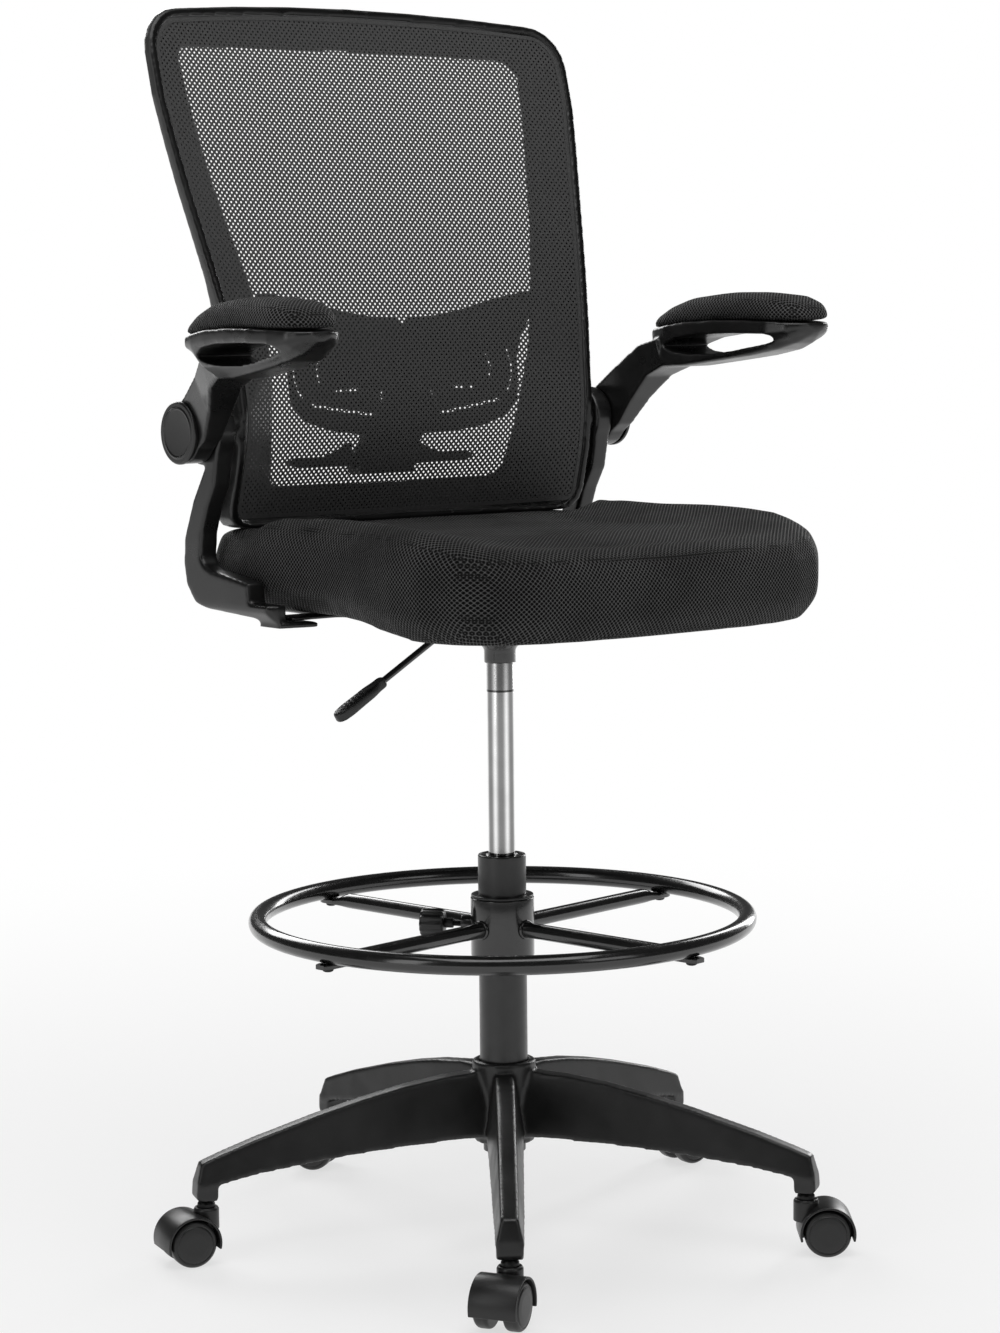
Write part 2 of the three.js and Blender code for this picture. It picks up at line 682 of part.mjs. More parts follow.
/** Moulding from the arm's pivot down and forward to the foot, which bolts on under the seat pan. */
function bracket() {
  const body = plateX([...BRACKET_REAR, ...BRACKET_FRONT], BRACKET_INNER + 1, BRACKET_OUTER);
  const disc = cylinderX(34, BRACKET_INNER, BRACKET_OUTER, PIVOT_Y, PIVOT_Z, ROUND);
  const foot = plateZ([[206, 28], [250, 38], [250, 76], [206, 72]], 654.5, PAN_BOTTOM - 0.6);
  const riser = block(BRACKET_INNER + 1, 40, 654.5, 250, 74, 677);
  const bevel = block(0, 0, 0, 40, 260, 40).rotateY(45 * DEG).translate(BRACKET_OUTER - 14, 0, 657);
  const bore = cylinderX(PIVOT_BOLT + 0.3, BRACKET_INNER - 5, BRACKET_OUTER + 5, PIVOT_Y, PIVOT_Z, FINE);
  return build([body, disc, foot, riser], [bevel, bore]);
}

// ---------------------------------------------------------------- back

// Against height: where the front of the frame's side lies, and how far out it is.
const BACK_PROFILE = [[740, 151], [760, 145.5], [790, 137], [820, 129], [850, 124.5], [875, 124.5], [900, 128],
  [950, 137], [1000, 150.5], [1050, 165], [1100, 180], [1150, 193.5], [1200, 207], [1250, 220], [1290, 230]];
const BACK_HALF = [[740, 233], [790, 233], [850, 231], [900, 233], [950, 238.5], [1000, 246.5], [1100, 262],
  [1150, 268.5], [1200, 274], [1241, 272.5], [1290, 272.5]];
// Against height: the see-through window's edge, and how far behind the front it lies.
const WINDOW_HALF = [[790, 151], [800, 153], [820, 156.5], [850, 161], [900, 165], [950, 174], [1000, 185],
  [1050, 197], [1100, 206.5], [1150, 214], [1200, 219.5], [1245, 222]];
// Against height: how far the middle of the mesh lies behind its sides.
const BACK_BOW = [[740, 14], [850, 16.5], [900, 16], [950, 13], [1050, 13], [1150, 17], [1290, 22]];
const WINDOW_TOP = 1243;
const WINDOW_BOTTOM = 787;

/** Y of the back's front surface at a place in the front view. */
function backFront(x, z) {
  const share = Math.min(1, Math.abs(x) / lookup(BACK_HALF, z));
  return lookup(BACK_PROFILE, z) + lookup(BACK_BOW, z) * (1 - share * share);
}

/** Half of a closed outline between a top and a bottom, its sides taken from a table of half-widths. */
function halfOutline(halfWidths, top, bottom, topRadius, bottomRadius, crown) {
  const at = (z) => lookup(halfWidths, z);
  const points = [];
  const topStart = at(top - topRadius) - topRadius;
  for (let i = 0; i <= 3; i += 1) {
    const x = (topStart * i) / 3;
    points.push([x, top - crown * (x / topStart) ** 2]);
  }
  for (let i = 1; i <= 5; i += 1) {
    const angle = (90 - 18 * i) * DEG;
    const z = top - crown - topRadius + topRadius * Math.sin(angle);
    points.push([at(top - topRadius) - topRadius + topRadius * Math.cos(angle), z]);
  }
  const sideTop = top - crown - topRadius;
  const sideBottom = bottom + bottomRadius;
  for (let i = 1; i <= 10; i += 1) {
    const z = sideTop + ((sideBottom - sideTop) * i) / 10;
    points.push([at(z), z]);
  }
  for (let i = 1; i <= 3; i += 1) {
    const angle = -30 * i * DEG;
    points.push([at(sideBottom) - bottomRadius + bottomRadius * Math.cos(angle),
      sideBottom + bottomRadius * Math.sin(angle)]);
  }
  const bottomStart = at(sideBottom) - bottomRadius;
  for (let i = 1; i <= 3; i += 1) {
    points.push([bottomStart * (1 - i / 3), bottom - i]);
  }
  return points;
}

/** The half outline and its mirror image as one closed row. */
function wholeOutline(half) {
  return [...half, ...half.slice(1, -1).reverse().map(([x, z]) => [-x, z])];
}

/** Points round the frame, each with its outer edge, its window edge and the way from one to the other. */
function backStations() {
  const outer = wholeOutline(halfOutline(BACK_HALF, BACK_TOP, BACK_BOTTOM, 46, 22, 10));
  const window = wholeOutline(halfOutline(WINDOW_HALF, WINDOW_TOP, WINDOW_BOTTOM, 20, 14, 4));
  return outer.map(([x, z], i) => {
    const [wx, wz] = window[i];
    const length = Math.hypot(wx - x, wz - z);
    return { x, z, wx, wz, ux: (wx - x) / length, uz: (wz - z) / length, front: backFront(x, z) };
  });
}

/** A ring of plastic: a narrow lip round the mesh, and a wide flange set back behind it. */
function backFrame() {
  const sections = backStations().map(({ x, z, wx, wz, ux, uz, front }) => {
    const depth = lookup([[740, 30], [900, 30], [1000, 16], [1290, 14]], z);
    const setBack = lookup([[740, 46], [850, 46], [900, 34], [1000, 30], [1290, 26]], z);
    const place = (inward, y) => [x + ux * inward, y, z + uz * inward];
    const windowFront = front + setBack;
    return [
      place(0, front + 1.5), place(1.5, front), place(LIP_WIDTH, front), place(LIP_WIDTH, front + 9),
      [wx, windowFront - 3.5, wz], [wx, windowFront, wz],
      place(3, front + depth), place(0, front + depth - 3),
    ];
  });
  const lug = cylinderX(15, 223.5, BRACKET_INNER - 0.4, 142, PIVOT_Z, FINE);
  return build([loopLoft(sections), lug, mirrored(lug)]);
}

/** The stretched mesh as a thin closed sheet inside the frame's lip. */
function backMesh() {
  const middle = 1010;
  const inset = LIP_WIDTH + 0.6;
  const edge = backStations().map(({ x, z, ux, uz }) => [x + ux * inset, z + uz * inset]);
  const ring = (share, back) => edge.map(([x, z]) => {
    const [px, pz] = [x * share, middle + (z - middle) * share];
    return [px, backFront(px, pz) + back, pz];
  });
  const shares = [0.2, 0.45, 0.72, 1];
  return loft([
    ...shares.map((share) => ring(share, 1.6)),
    ...shares.reverse().map((share) => ring(share, 1.6 + MESH_THICKNESS)),
  ]);
}

// ---------------------------------------------------------------- lumbar support

const LUMBAR_TILT = 4.8;
const LUMBAR_Y = 155;
const LUMBAR_Z = 900;
const LUMBAR_THICKNESS = 4.5;

// Right half of the pad's front view, from the notch round to the middle of the lower edge.
const LUMBAR_HALF = [[0, 950], [6, 960], [45, 962], [80, 968], [125, 979], [172, 987], [184, 985], [185, 978],
  [172, 958], [158, 936], [151, 915], [150, 880], [146, 866], [134, 854], [100, 843], [60, 838], [0, 836]];
// Slots that flex the two lobes: centre line points, right half.
const LUMBAR_SLOTS = [
  [[137, 928], [144, 905], [141, 889], [134, 878]],
  [[126, 871], [85, 864], [41, 858]],
  [[33, 884], [34, 866]],
  [[109, 920], [115, 906], [111, 892]],
  [[92, 884], [61, 886]],
];

/** A narrow slot of constant width along a row of points. */
function slotOutline(line, width) {
  const sides = [[], []];
  line.forEach(([x, z], i) => {
    const [ax, az] = line[Math.max(0, i - 1)];
    const [bx, bz] = line[Math.min(line.length - 1, i + 1)];
    const length = Math.hypot(bx - ax, bz - az);
    const [nx, nz] = [((bz - az) / length) * (width / 2), (-(bx - ax) / length) * (width / 2)];
    sides[0].push([x + nx, z + nz]);
    sides[1].unshift([x - nx, z - nz]);
  });
  return [...sides[0], ...sides[1]];
}

function lumbarPad() {
  const whole = wholeOutline(LUMBAR_HALF);
  const shape = new THREE.Shape(whole.map(([x, z]) => new THREE.Vector2(x, z - LUMBAR_Z)));
  const slots = LUMBAR_SLOTS.map((line) => slotOutline(line, 3));
  slots.push(...slots.map((slot) => slot.map(([x, z]) => [-x, z]).reverse()));
  slots.push(slotOutline([[0, 864], [0, 844]], 3));
  for (const slot of slots) {
    shape.holes.push(new THREE.Path(slot.map(([x, z]) => new THREE.Vector2(x, z - LUMBAR_Z))));
  }
  const plate = new THREE.ExtrudeGeometry(shape, { depth: LUMBAR_THICKNESS, bevelEnabled: false });
  plate.rotateX(Math.PI / 2).translate(0, LUMBAR_THICKNESS, 0);
  const hook = block(164, 3, 66, 171, 32, 78);
  const claw = block(164, 28, 66, 196, 32, 78);
  const pad = build([plate, hook, mirrored(hook), claw, mirrored(claw)]);
  return pad.rotateX(-LUMBAR_TILT * DEG).translate(0, LUMBAR_Y, LUMBAR_Z);
}

/** Sloping plate from the pad down to the box that holds the handle. */
function lumbarCarrier() {
  const plate = plateX([[158, 862], [163, 862], [199, 822], [199, 814], [194, 814], [158, 854]], -38, 38);
  const boxOutline = [[190, 794], [213, 794], [216, 798], [216, 816], [212, 820], [190, 820]];
  const handleRoom = plateX([[197.6, 801.6], [208.4, 801.6], [208.4, 812.4], [197.6, 812.4]], -50, 50);
  return build([plate, plateX(boxOutline, -36, 36)], [handleRoom]);
}

/** Bar through the box with a wing on each side. */
function lumbarHandle() {
  const right = [[0, 802], [40, 802], [66, 803], [112, 804], [121, 806.5], [121, 811.5], [112, 814], [80, 813.5],
    [62, 819], [48, 827], [40, 828], [40, 812], [0, 812]];
  const whole = wholeOutline(right);
  const shape = new THREE.Shape(whole.map(([x, z]) => new THREE.Vector2(x, z)));
  const bar = new THREE.ExtrudeGeometry(shape, { depth: 10, bevelEnabled: false });
  return closed(bar.rotateX(Math.PI / 2).translate(0, 208, 0));
}

// ---------------------------------------------------------------- arms

// Along the arm from back to front: Y, middle of the top, its half-width, middle of the underside,
// its half-width, height of the top and height of the underside.
const ARM_STATIONS = [
  [85, 301, 14, 298, 10, 943, 934],
  [80, 301.3, 23, 297, 17, 943.3, 929.5],
  [69, 302, 31, 293, 22, 944.8, 924],
  [48, 303.5, 36.5, 287, 24.5, 948, 903],
  [20, 306, 39.5, 290, 25, 951.5, 904],
  [-25, 309.5, 41, 297, 25, 953.5, 909.5],
  [-70, 312.8, 41, 305, 25, 953.2, 915.5],
  [-103, 315, 38.5, 311, 23, 952, 922],
  [-123, 316, 31, 314, 17, 951, 929],
  [-134, 316.5, 22, 316, 10, 950.5, 936],
  [-139, 316.5, 12, 316.5, 6, 950.2, 941],
];
// Along the link from the pivot up to the carrier: rear corner, front corner (Y, Z), inner and outer X.
const LINK_STATIONS = [
  [[177, 866], [136, 827], 259.4, 282.2],
  [[153, 883], [117, 840], 259.4, 282.2],
  [[120, 905], [95, 868], 260, 290],
  [[88, 926.5], [73, 893], 262.5, 303],
  [[56, 934], [48, 903.5], 263, 311],
];
const FINGER_SLOT = [[52, 925.5], [30, 934], [0, 938], [-50, 939.5], [-98, 938.8], [-105.5, 937], [-108, 933.8],
  [-105, 931], [-95, 928.6], [-50, 921], [-20, 917.6], [10, 917.2], [35, 920]];

/** Upright wall under the pad, then a belly drawn in to the narrower underside. */
function armSection([y, topX, topHalf, lowX, lowHalf, top, low]) {
  const height = top - low;
  const soft = Math.min(4, lowHalf / 3);
  const side = (sign) => {
    const upper = topX + sign * topHalf;
    const lower = lowX + sign * lowHalf;
    const belly = lower + (upper - lower) * 0.55;
    return [
      [upper, y, top], [upper, y, top - Math.min(14, height * 0.5)], [belly, y, low + height * 0.28],
      [lower, y, low + Math.min(3, height * 0.12)], [lower - sign * soft, y, low],
    ];
  };
  return [...side(-1), ...side(1).reverse()];
}

/** Hub, rising link and slotted carrier under the pad, in one moulding. Built for the sitter's left. */
function armRest() {
  const hub = cylinderX(HUB_RADIUS, ARM_INNER, ARM_OUTER, PIVOT_Y, PIVOT_Z, ROUND);
  const link = loft(LINK_STATIONS.map(([rear, front, inner, outer]) => [
    [inner, ...rear], [outer, ...rear], [outer, ...front], [inner, ...front],
  ]));
  const carrier = loft(ARM_STATIONS.map(armSection));
  const slot = plateX(FINGER_SLOT, 225, 385);
  const bore = cylinderX(PIVOT_BOLT + 0.3, ARM_INNER - 5, ARM_OUTER + 5, PIVOT_Y, PIVOT_Z, FINE);
  const capRoom = cylinderX(HUB_RADIUS + 1.2, ARM_OUTER, ARM_OUTER + 20, PIVOT_Y, PIVOT_Z, ROUND);
  return build([hub, link, carrier], [slot, bore, capRoom]);
}

// Height of the pad over its seam, from its back end to its front end.
const PAD_CROWN = [6, 11, 16, 22, 26.5, 28.5, 28.5, 27, 22, 15, 8];

/** Upholstered pad: the carrier's plan, crowned, with rounded ends. */
function armPad() {
  const side = [[0.97, 0], [1, 0.2], [0.97, 0.48], [0.85, 0.76], [0.58, 0.94]];
  return loft(ARM_STATIONS.map(([y, x, half, , , top], i) => {
    const right = side.map(([out, up]) => [x + out * half, y, top + 0.4 + up * PAD_CROWN[i]]);
    const left = side.map(([out, up]) => [x - out * half, y, top + 0.4 + up * PAD_CROWN[i]]).reverse();
    return [...right, [x, y, top + 0.4 + PAD_CROWN[i]], ...left];
  }));
}

/** Cap and bolt in one: the arm turns on its shank. */
function pivotBolt() {
  const shank = CAP_FACE - BRACKET_INNER;
  const cap = CAP_FACE - ARM_OUTER - 0.3;
  return turned([
    [0, 0.8], [24.6, 0.8], [24.6, 0], [30.6, 0], [31.8, 1.2], [31.8, cap], [PIVOT_BOLT, cap], [PIVOT_BOLT, shank],
    [0, shank],
  ], FINE + 4).rotateY(-Math.PI / 2).translate(CAP_FACE, PIVOT_Y, PIVOT_Z);
}

add('back_frame', backFrame(), satinPlastic);
add('back_mesh', backMesh(), meshFabric);
add('lumbar_pad', lumbarPad(), satinPlastic);
add('lumbar_carrier', lumbarCarrier(), satinPlastic);
add('lumbar_handle', lumbarHandle(), satinPlastic);

for (const [side, make] of [['left', (shape) => shape], ['right', mirrored]]) {
  add(`bracket_${side}`, make(bracket()), satinPlastic);
  add(`arm_${side}`, make(armRest()), satinPlastic);
  add(`arm_pad_${side}`, make(armPad()), seatFabric);
  add(`pivot_bolt_${side}`, make(pivotBolt()), satinPlastic);
}

export default chair;
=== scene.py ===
import math

import bmesh
import bpy
import numpy as np
from mathutils import Matrix, Vector


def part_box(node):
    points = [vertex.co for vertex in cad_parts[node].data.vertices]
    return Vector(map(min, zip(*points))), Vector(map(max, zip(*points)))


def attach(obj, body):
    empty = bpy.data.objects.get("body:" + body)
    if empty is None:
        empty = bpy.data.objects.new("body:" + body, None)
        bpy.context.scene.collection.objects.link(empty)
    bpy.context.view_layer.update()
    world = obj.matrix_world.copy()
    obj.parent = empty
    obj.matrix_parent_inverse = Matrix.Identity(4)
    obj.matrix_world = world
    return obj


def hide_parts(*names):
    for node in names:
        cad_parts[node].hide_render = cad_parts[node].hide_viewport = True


# Looks for the drafting chair. Tables below are in millimetres in the chair's own frame: the column's axis is
# at X = Y = 0. PLACE and MM bring them into the row frame, in metres.

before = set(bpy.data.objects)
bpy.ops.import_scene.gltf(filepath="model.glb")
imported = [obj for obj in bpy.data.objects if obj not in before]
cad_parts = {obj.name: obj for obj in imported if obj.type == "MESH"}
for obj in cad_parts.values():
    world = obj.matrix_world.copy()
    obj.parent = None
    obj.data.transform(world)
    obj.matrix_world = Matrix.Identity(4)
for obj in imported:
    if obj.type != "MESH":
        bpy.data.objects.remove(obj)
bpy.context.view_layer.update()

COLUMN_X = -0.5
COLUMN_Y = -30.5
DATUM_DROP = 6.5
PLACE = Matrix.Translation((COLUMN_X, COLUMN_Y, -DATUM_DROP))
MM = Matrix.Scale(0.001, 4)
DEG = math.pi / 180
STROKE_LINE = 0.577 - 0.001 * DATUM_DROP


# ---------------------------------------------------------------- camera, light and floor

def make_camera():
    """Low and a little below the arms, from the sitter's front right, with a long lens."""
    distance, height, turn = 3.4069, 0.9815, math.radians(38.2)
    pitch, roll = 0.1111, 0.0099
    right, up = Vector((1, 0, 0)), Vector((0, math.sin(pitch), math.cos(pitch)))
    ahead = Vector((0, math.cos(pitch), -math.sin(pitch)))
    rolled = right * math.cos(roll) - up * math.sin(roll)
    tall = right * math.sin(roll) + up * math.cos(roll)
    spin = Matrix.Rotation(-turn, 3, "Z")
    axes = [spin @ v for v in (rolled, tall, -ahead)]
    data = bpy.data.cameras.new("camera")
    data.lens, data.sensor_width, data.sensor_fit = 89.78, 36, "AUTO"
    data.clip_end = 200
    camera = bpy.data.objects.new("camera", data)
    bpy.context.scene.collection.objects.link(camera)
    place = Vector((0.001 * COLUMN_X - distance * math.sin(turn),
                    0.001 * COLUMN_Y - distance * math.cos(turn),
                    height - 0.001 * DATUM_DROP))
    camera.matrix_world = Matrix.Translation(place) @ Matrix([list(r) for r in zip(*axes)]).to_4x4()
    bpy.context.scene.camera = camera


def area_light(name, place, target, size, energy, colour=(1, 1, 1)):
    data = bpy.data.lights.new(name, "AREA")
    data.shape, data.size, data.size_y = "RECTANGLE", size[0], size[1]
    data.energy, data.color = energy, colour
    light = bpy.data.objects.new(name, data)
    light.location = place
    light.rotation_euler = (Vector(target) - Vector(place)).to_track_quat("-Z", "Y").to_euler()
    bpy.context.scene.collection.objects.link(light)


def make_lights():
    area_light("softbox_top", (-0.3, -0.6, 3.1), (0, 0, 0.8), (2.4, 2.4), 50)
    area_light("softbox_left", (-2.9, -0.5, 1.5), (0, 0, 0.75), (0.8, 2.2), 13)
    area_light("softbox_front", (0.6, -3.3, 1.9), (0, 0, 0.6), (1.4, 1.4), 10)
    area_light("softbox_right", (2.7, 0.9, 1.4), (0, 0, 0.75), (0.6, 2.2), 30)
    area_light("softbox_back", (0.5, 3.0, 2.2), (0, 0, 0.8), (2.0, 1.2), 46)


PALE = (1, 1, 1, 1)


def make_world():
    world = bpy.data.worlds.new("studio")
    world.use_nodes = True
    tree = world.node_tree
    tree.nodes.clear()
    seen, lit = tree.nodes.new("ShaderNodeBackground"), tree.nodes.new("ShaderNodeBackground")
    seen.inputs["Color"].default_value = PALE
    lit.inputs["Color"].default_value = (1, 1, 1, 1)
    lit.inputs["Strength"].default_value = 0.07
    path, mix = tree.nodes.new("ShaderNodeLightPath"), tree.nodes.new("ShaderNodeMixShader")
    out = tree.nodes.new("ShaderNodeOutputWorld")
    tree.links.new(path.outputs["Is Camera Ray"], mix.inputs[0])
    tree.links.new(lit.outputs[0], mix.inputs[1])
    tree.links.new(seen.outputs[0], mix.inputs[2])
    tree.links.new(mix.outputs[0], out.inputs[0])
    bpy.context.scene.world = world


def make_floor():
    """A pale floor that runs into the pale background."""
    work = bmesh.new()
    bmesh.ops.create_circle(work, cap_ends=True, segments=96, radius=60)
    mesh = bpy.data.meshes.new("floor")
    work.to_mesh(mesh)
    work.free()
    floor = bpy.data.objects.new("floor", mesh)
    bpy.context.scene.collection.objects.link(floor)
    material = bpy.data.materials.new("pale_floor")
    material.use_nodes = True
    tree = material.node_tree
    shader = tree.nodes["Principled BSDF"]
    shader.inputs["Base Color"].default_value = (0.86, 0.86, 0.86, 1)
    shader.inputs["Roughness"].default_value = 0.6
    glow = tree.nodes.new("ShaderNodeEmission")
    glow.inputs["Color"].default_value = PALE
    place = tree.nodes.new("ShaderNodeTexCoord")
    far = tree.nodes.new("ShaderNodeVectorMath")
    far.operation = "LENGTH"
    fade = tree.nodes.new("ShaderNodeMapRange")
    fade.interpolation_type = "SMOOTHSTEP"
    fade.inputs["From Min"].default_value = 0.6
    fade.inputs["From Max"].default_value = 2.4
    fade.inputs["To Min"].default_value = 0.66
    mix = tree.nodes.new("ShaderNodeMixShader")
    tree.links.new(place.outputs["Object"], far.inputs[0])
    tree.links.new(far.outputs["Value"], fade.inputs["Value"])
    tree.links.new(fade.outputs[0], mix.inputs[0])
    tree.links.new(shader.outputs[0], mix.inputs[1])
    tree.links.new(glow.outputs[0], mix.inputs[2])
    tree.links.new(mix.outputs[0], tree.nodes["Material Output"].inputs[0])
    mesh.materials.append(material)


make_camera()
make_lights()
make_world()
make_floor()
bpy.context.scene.view_settings.view_transform = "Standard"


# ---------------------------------------------------------------- materials

class Graph:
    """A material's node tree with short calls for the nodes that these materials use."""

    def __init__(self, name, colour, roughness):
        self.material = bpy.data.materials.new(name)
        self.material.use_nodes = True
        self.tree = self.material.node_tree
        self.shader = self.tree.nodes["Principled BSDF"]
        self.shader.inputs["Base Color"].default_value = (*colour, 1)
        self.shader.inputs["Roughness"].default_value = roughness
        self.place = self.tree.nodes.new("ShaderNodeTexCoord")

    def plug(self, value, socket):
        if isinstance(value, bpy.types.NodeSocket):
            self.tree.links.new(value, socket)
        else:
            socket.default_value = value

    def math(self, operation, *values, clamp=False):
        made = self.tree.nodes.new("ShaderNodeMath")
        made.operation, made.use_clamp = operation, clamp
        for value, socket in zip(values, made.inputs):
            self.plug(value, socket)
        return made.outputs[0]

    def noise(self, scale, detail=3, rough=0.55):
        made = self.tree.nodes.new("ShaderNodeTexNoise")
        made.inputs["Scale"].default_value = scale
        made.inputs["Detail"].default_value = detail
        made.inputs["Roughness"].default_value = rough
        self.tree.links.new(self.place.outputs["Object"], made.inputs["Vector"])
        return made.outputs["Fac"]

    def spots(self, scale):
        made = self.tree.nodes.new("ShaderNodeTexVoronoi")
        made.inputs["Scale"].default_value = scale
        self.tree.links.new(self.place.outputs["Object"], made.inputs["Vector"])
        return made.outputs["Distance"]

    def ramp(self, factor, stops):
        made = self.tree.nodes.new("ShaderNodeValToRGB")
        marks = made.color_ramp.elements
        while len(marks) < len(stops):
            marks.new(0.5)
        for mark, (at, colour) in zip(marks, stops):
            mark.position = at
            mark.color = (*colour, 1) if isinstance(colour, tuple) else (colour, colour, colour, 1)
        self.plug(factor, made.inputs["Fac"])
        return made.outputs["Color"]

    def span(self, value, low, high, new_low, new_high):
        made = self.tree.nodes.new("ShaderNodeMapRange")
        for name, number in zip(("From Min", "From Max", "To Min", "To Max"), (low, high, new_low, new_high)):
            self.plug(number, made.inputs[name])
        self.plug(value, made.inputs["Value"])
        return made.outputs[0]

    def axes(self, vector):
        made = self.tree.nodes.new("ShaderNodeSeparateXYZ")
        self.tree.links.new(vector, made.inputs[0])
        return made.outputs[0], made.outputs[1], made.outputs[2]

    def bump(self, height, distance, strength=1.0):
        made = self.tree.nodes.new("ShaderNodeBump")
        made.inputs["Distance"].default_value = distance
        made.inputs["Strength"].default_value = strength
        self.plug(height, made.inputs["Height"])
        before = self.shader.inputs["Normal"].links
        if before:
            self.tree.links.new(before[0].from_socket, made.inputs["Normal"])
        self.tree.links.new(made.outputs[0], self.shader.inputs["Normal"])


def moulded_plastic(name, dark, light, rough, grain=1400, depth=0.00006):
    """Moulded plastic: fine spark grain, a soft drift of gloss, and a few handling scuffs."""
    g = Graph(name, (dark, dark, dark), rough)
    drift = g.noise(22, 4)
    g.plug(g.ramp(drift, [(0.3, dark), (0.72, light)]), g.shader.inputs["Base Color"])
    scuff = g.span(g.noise(260, 2, 0.7), 0.62, 0.8, 0, 0.09)
    gloss = g.span(drift, 0.3, 0.7, rough - 0.06, rough + 0.06)
    g.plug(g.math("ADD", gloss, scuff), g.shader.inputs["Roughness"])
    g.bump(g.spots(grain), depth, 0.55)
    return g.material


def frame_plastic(name):
    """The back's moulding: black where the net lies on it, with a painted highlight round its outer rim,
    where faces that look sideways are dark grey.
    """
    g = Graph(name, (0.003, 0.003, 0.003), 0.3)
    _, ny, _ = g.axes(g.place.outputs["Normal"])
    drift = g.noise(22, 4)
    # Painted highlight: faces turned sideways, up or down get a lighter grey base colour than the faces
    # looking forward or back.
    painted_lip_highlight = g.span(g.math("ABSOLUTE", ny), 0.5, 0.88, 1, 0)
    share = g.math("MULTIPLY", painted_lip_highlight, g.span(drift, 0.3, 0.7, 0.75, 1.0), clamp=True)
    g.plug(g.ramp(share, [(0.0, 0.003), (1.0, 0.045)]), g.shader.inputs["Base Color"])
    g.plug(g.span(drift, 0.3, 0.7, 0.24, 0.36), g.shader.inputs["Roughness"])
    g.shader.inputs["Specular IOR Level"].default_value = 0.35
    g.bump(g.spots(1500), 0.00004, 0.55)
    return g.material


def painted_steel(name, dark, rough, coat):
    """Powder or gloss paint: slight orange peel under a clear coat, and dust-dull patches."""
    g = Graph(name, (dark, dark, dark), rough)
    g.plug(g.ramp(g.noise(35, 3), [(0.3, dark * 0.85), (0.7, dark * 1.25)]), g.shader.inputs["Base Color"])
    g.plug(g.span(g.noise(80, 4), 0.3, 0.75, rough - 0.05, rough + 0.08), g.shader.inputs["Roughness"])
    g.shader.inputs["Coat Weight"].default_value = coat
    g.shader.inputs["Coat Roughness"].default_value = 0.12
    g.bump(g.noise(420, 2), 0.00012, 0.35)
    return g.material


def bare_metal(name, colour, rough, stretch=30):
    """Turned steel with fine rings round the axis."""
    g = Graph(name, (colour, colour, colour), rough)
    g.shader.inputs["Metallic"].default_value = 1
    _, _, z = g.axes(g.place.outputs["Object"])
    rings = g.math("FRACT", g.math("MULTIPLY", z, 900))
    g.plug(g.ramp(g.noise(stretch, 3), [(0.3, colour * 0.82), (0.7, colour)]), g.shader.inputs["Base Color"])
    g.plug(g.span(g.noise(200, 3), 0.3, 0.7, rough - 0.06, rough + 0.1), g.shader.inputs["Roughness"])
    g.bump(rings, 0.00002, 0.3)
    return g.material


def chromed(name):
    """Chromed pressure tube: bright below its stroke line, duller and slightly smeared above it, with painted
    reflections as light and dark bands round it.
    """
    g = Graph(name, (0.6, 0.6, 0.61), 0.12)
    g.shader.inputs["Metallic"].default_value = 1
    _, _, z = g.axes(g.place.outputs["Object"])
    above = g.math("GREATER_THAN", z, STROKE_LINE + 0.0005)
    line = g.math("LESS_THAN", g.math("ABSOLUTE", g.math("SUBTRACT", z, STROKE_LINE)), 0.0011)
    smear = g.noise(45, 4)
    bright = g.math("SUBTRACT", g.span(smear, 0.3, 0.7, 0.52, 0.6), g.math("MULTIPLY", above, 0.13))
    # Painted reflection: the base colour swings between dark and bright bands round the tube, set by which
    # way its surface faces.
    nx, ny, _ = g.axes(g.place.outputs["Normal"])
    reflection_band_turn = g.math("MULTIPLY", g.math("ADD", g.math("ARCTAN2", ny, nx), 128 * DEG), 7)
    painted_reflection_bands = g.math("POWER", g.math("SUBTRACT", 0.5, g.math("MULTIPLY", g.math("COSINE", reflection_band_turn), 0.5)), 2.2)
    bright = g.math("MULTIPLY", bright, g.span(painted_reflection_bands, 0, 1, 0.42, 1.6))
    tone = g.math("MULTIPLY", bright, g.math("SUBTRACT", 1, g.math("MULTIPLY", line, 0.85)), clamp=True)
    mixed = g.tree.nodes.new("ShaderNodeCombineColor")
    for socket in mixed.inputs:
        g.plug(tone, socket)
    g.plug(mixed.outputs[0], g.shader.inputs["Base Color"])
    rough = g.math("ADD", g.span(smear, 0.3, 0.75, 0.08, 0.15), g.math("MULTIPLY", above, 0.16))
    g.plug(rough, g.shader.inputs["Roughness"])
    g.bump(g.math("FRACT", g.math("MULTIPLY", z, 1300)), 0.00001, 0.2)
    return g.material


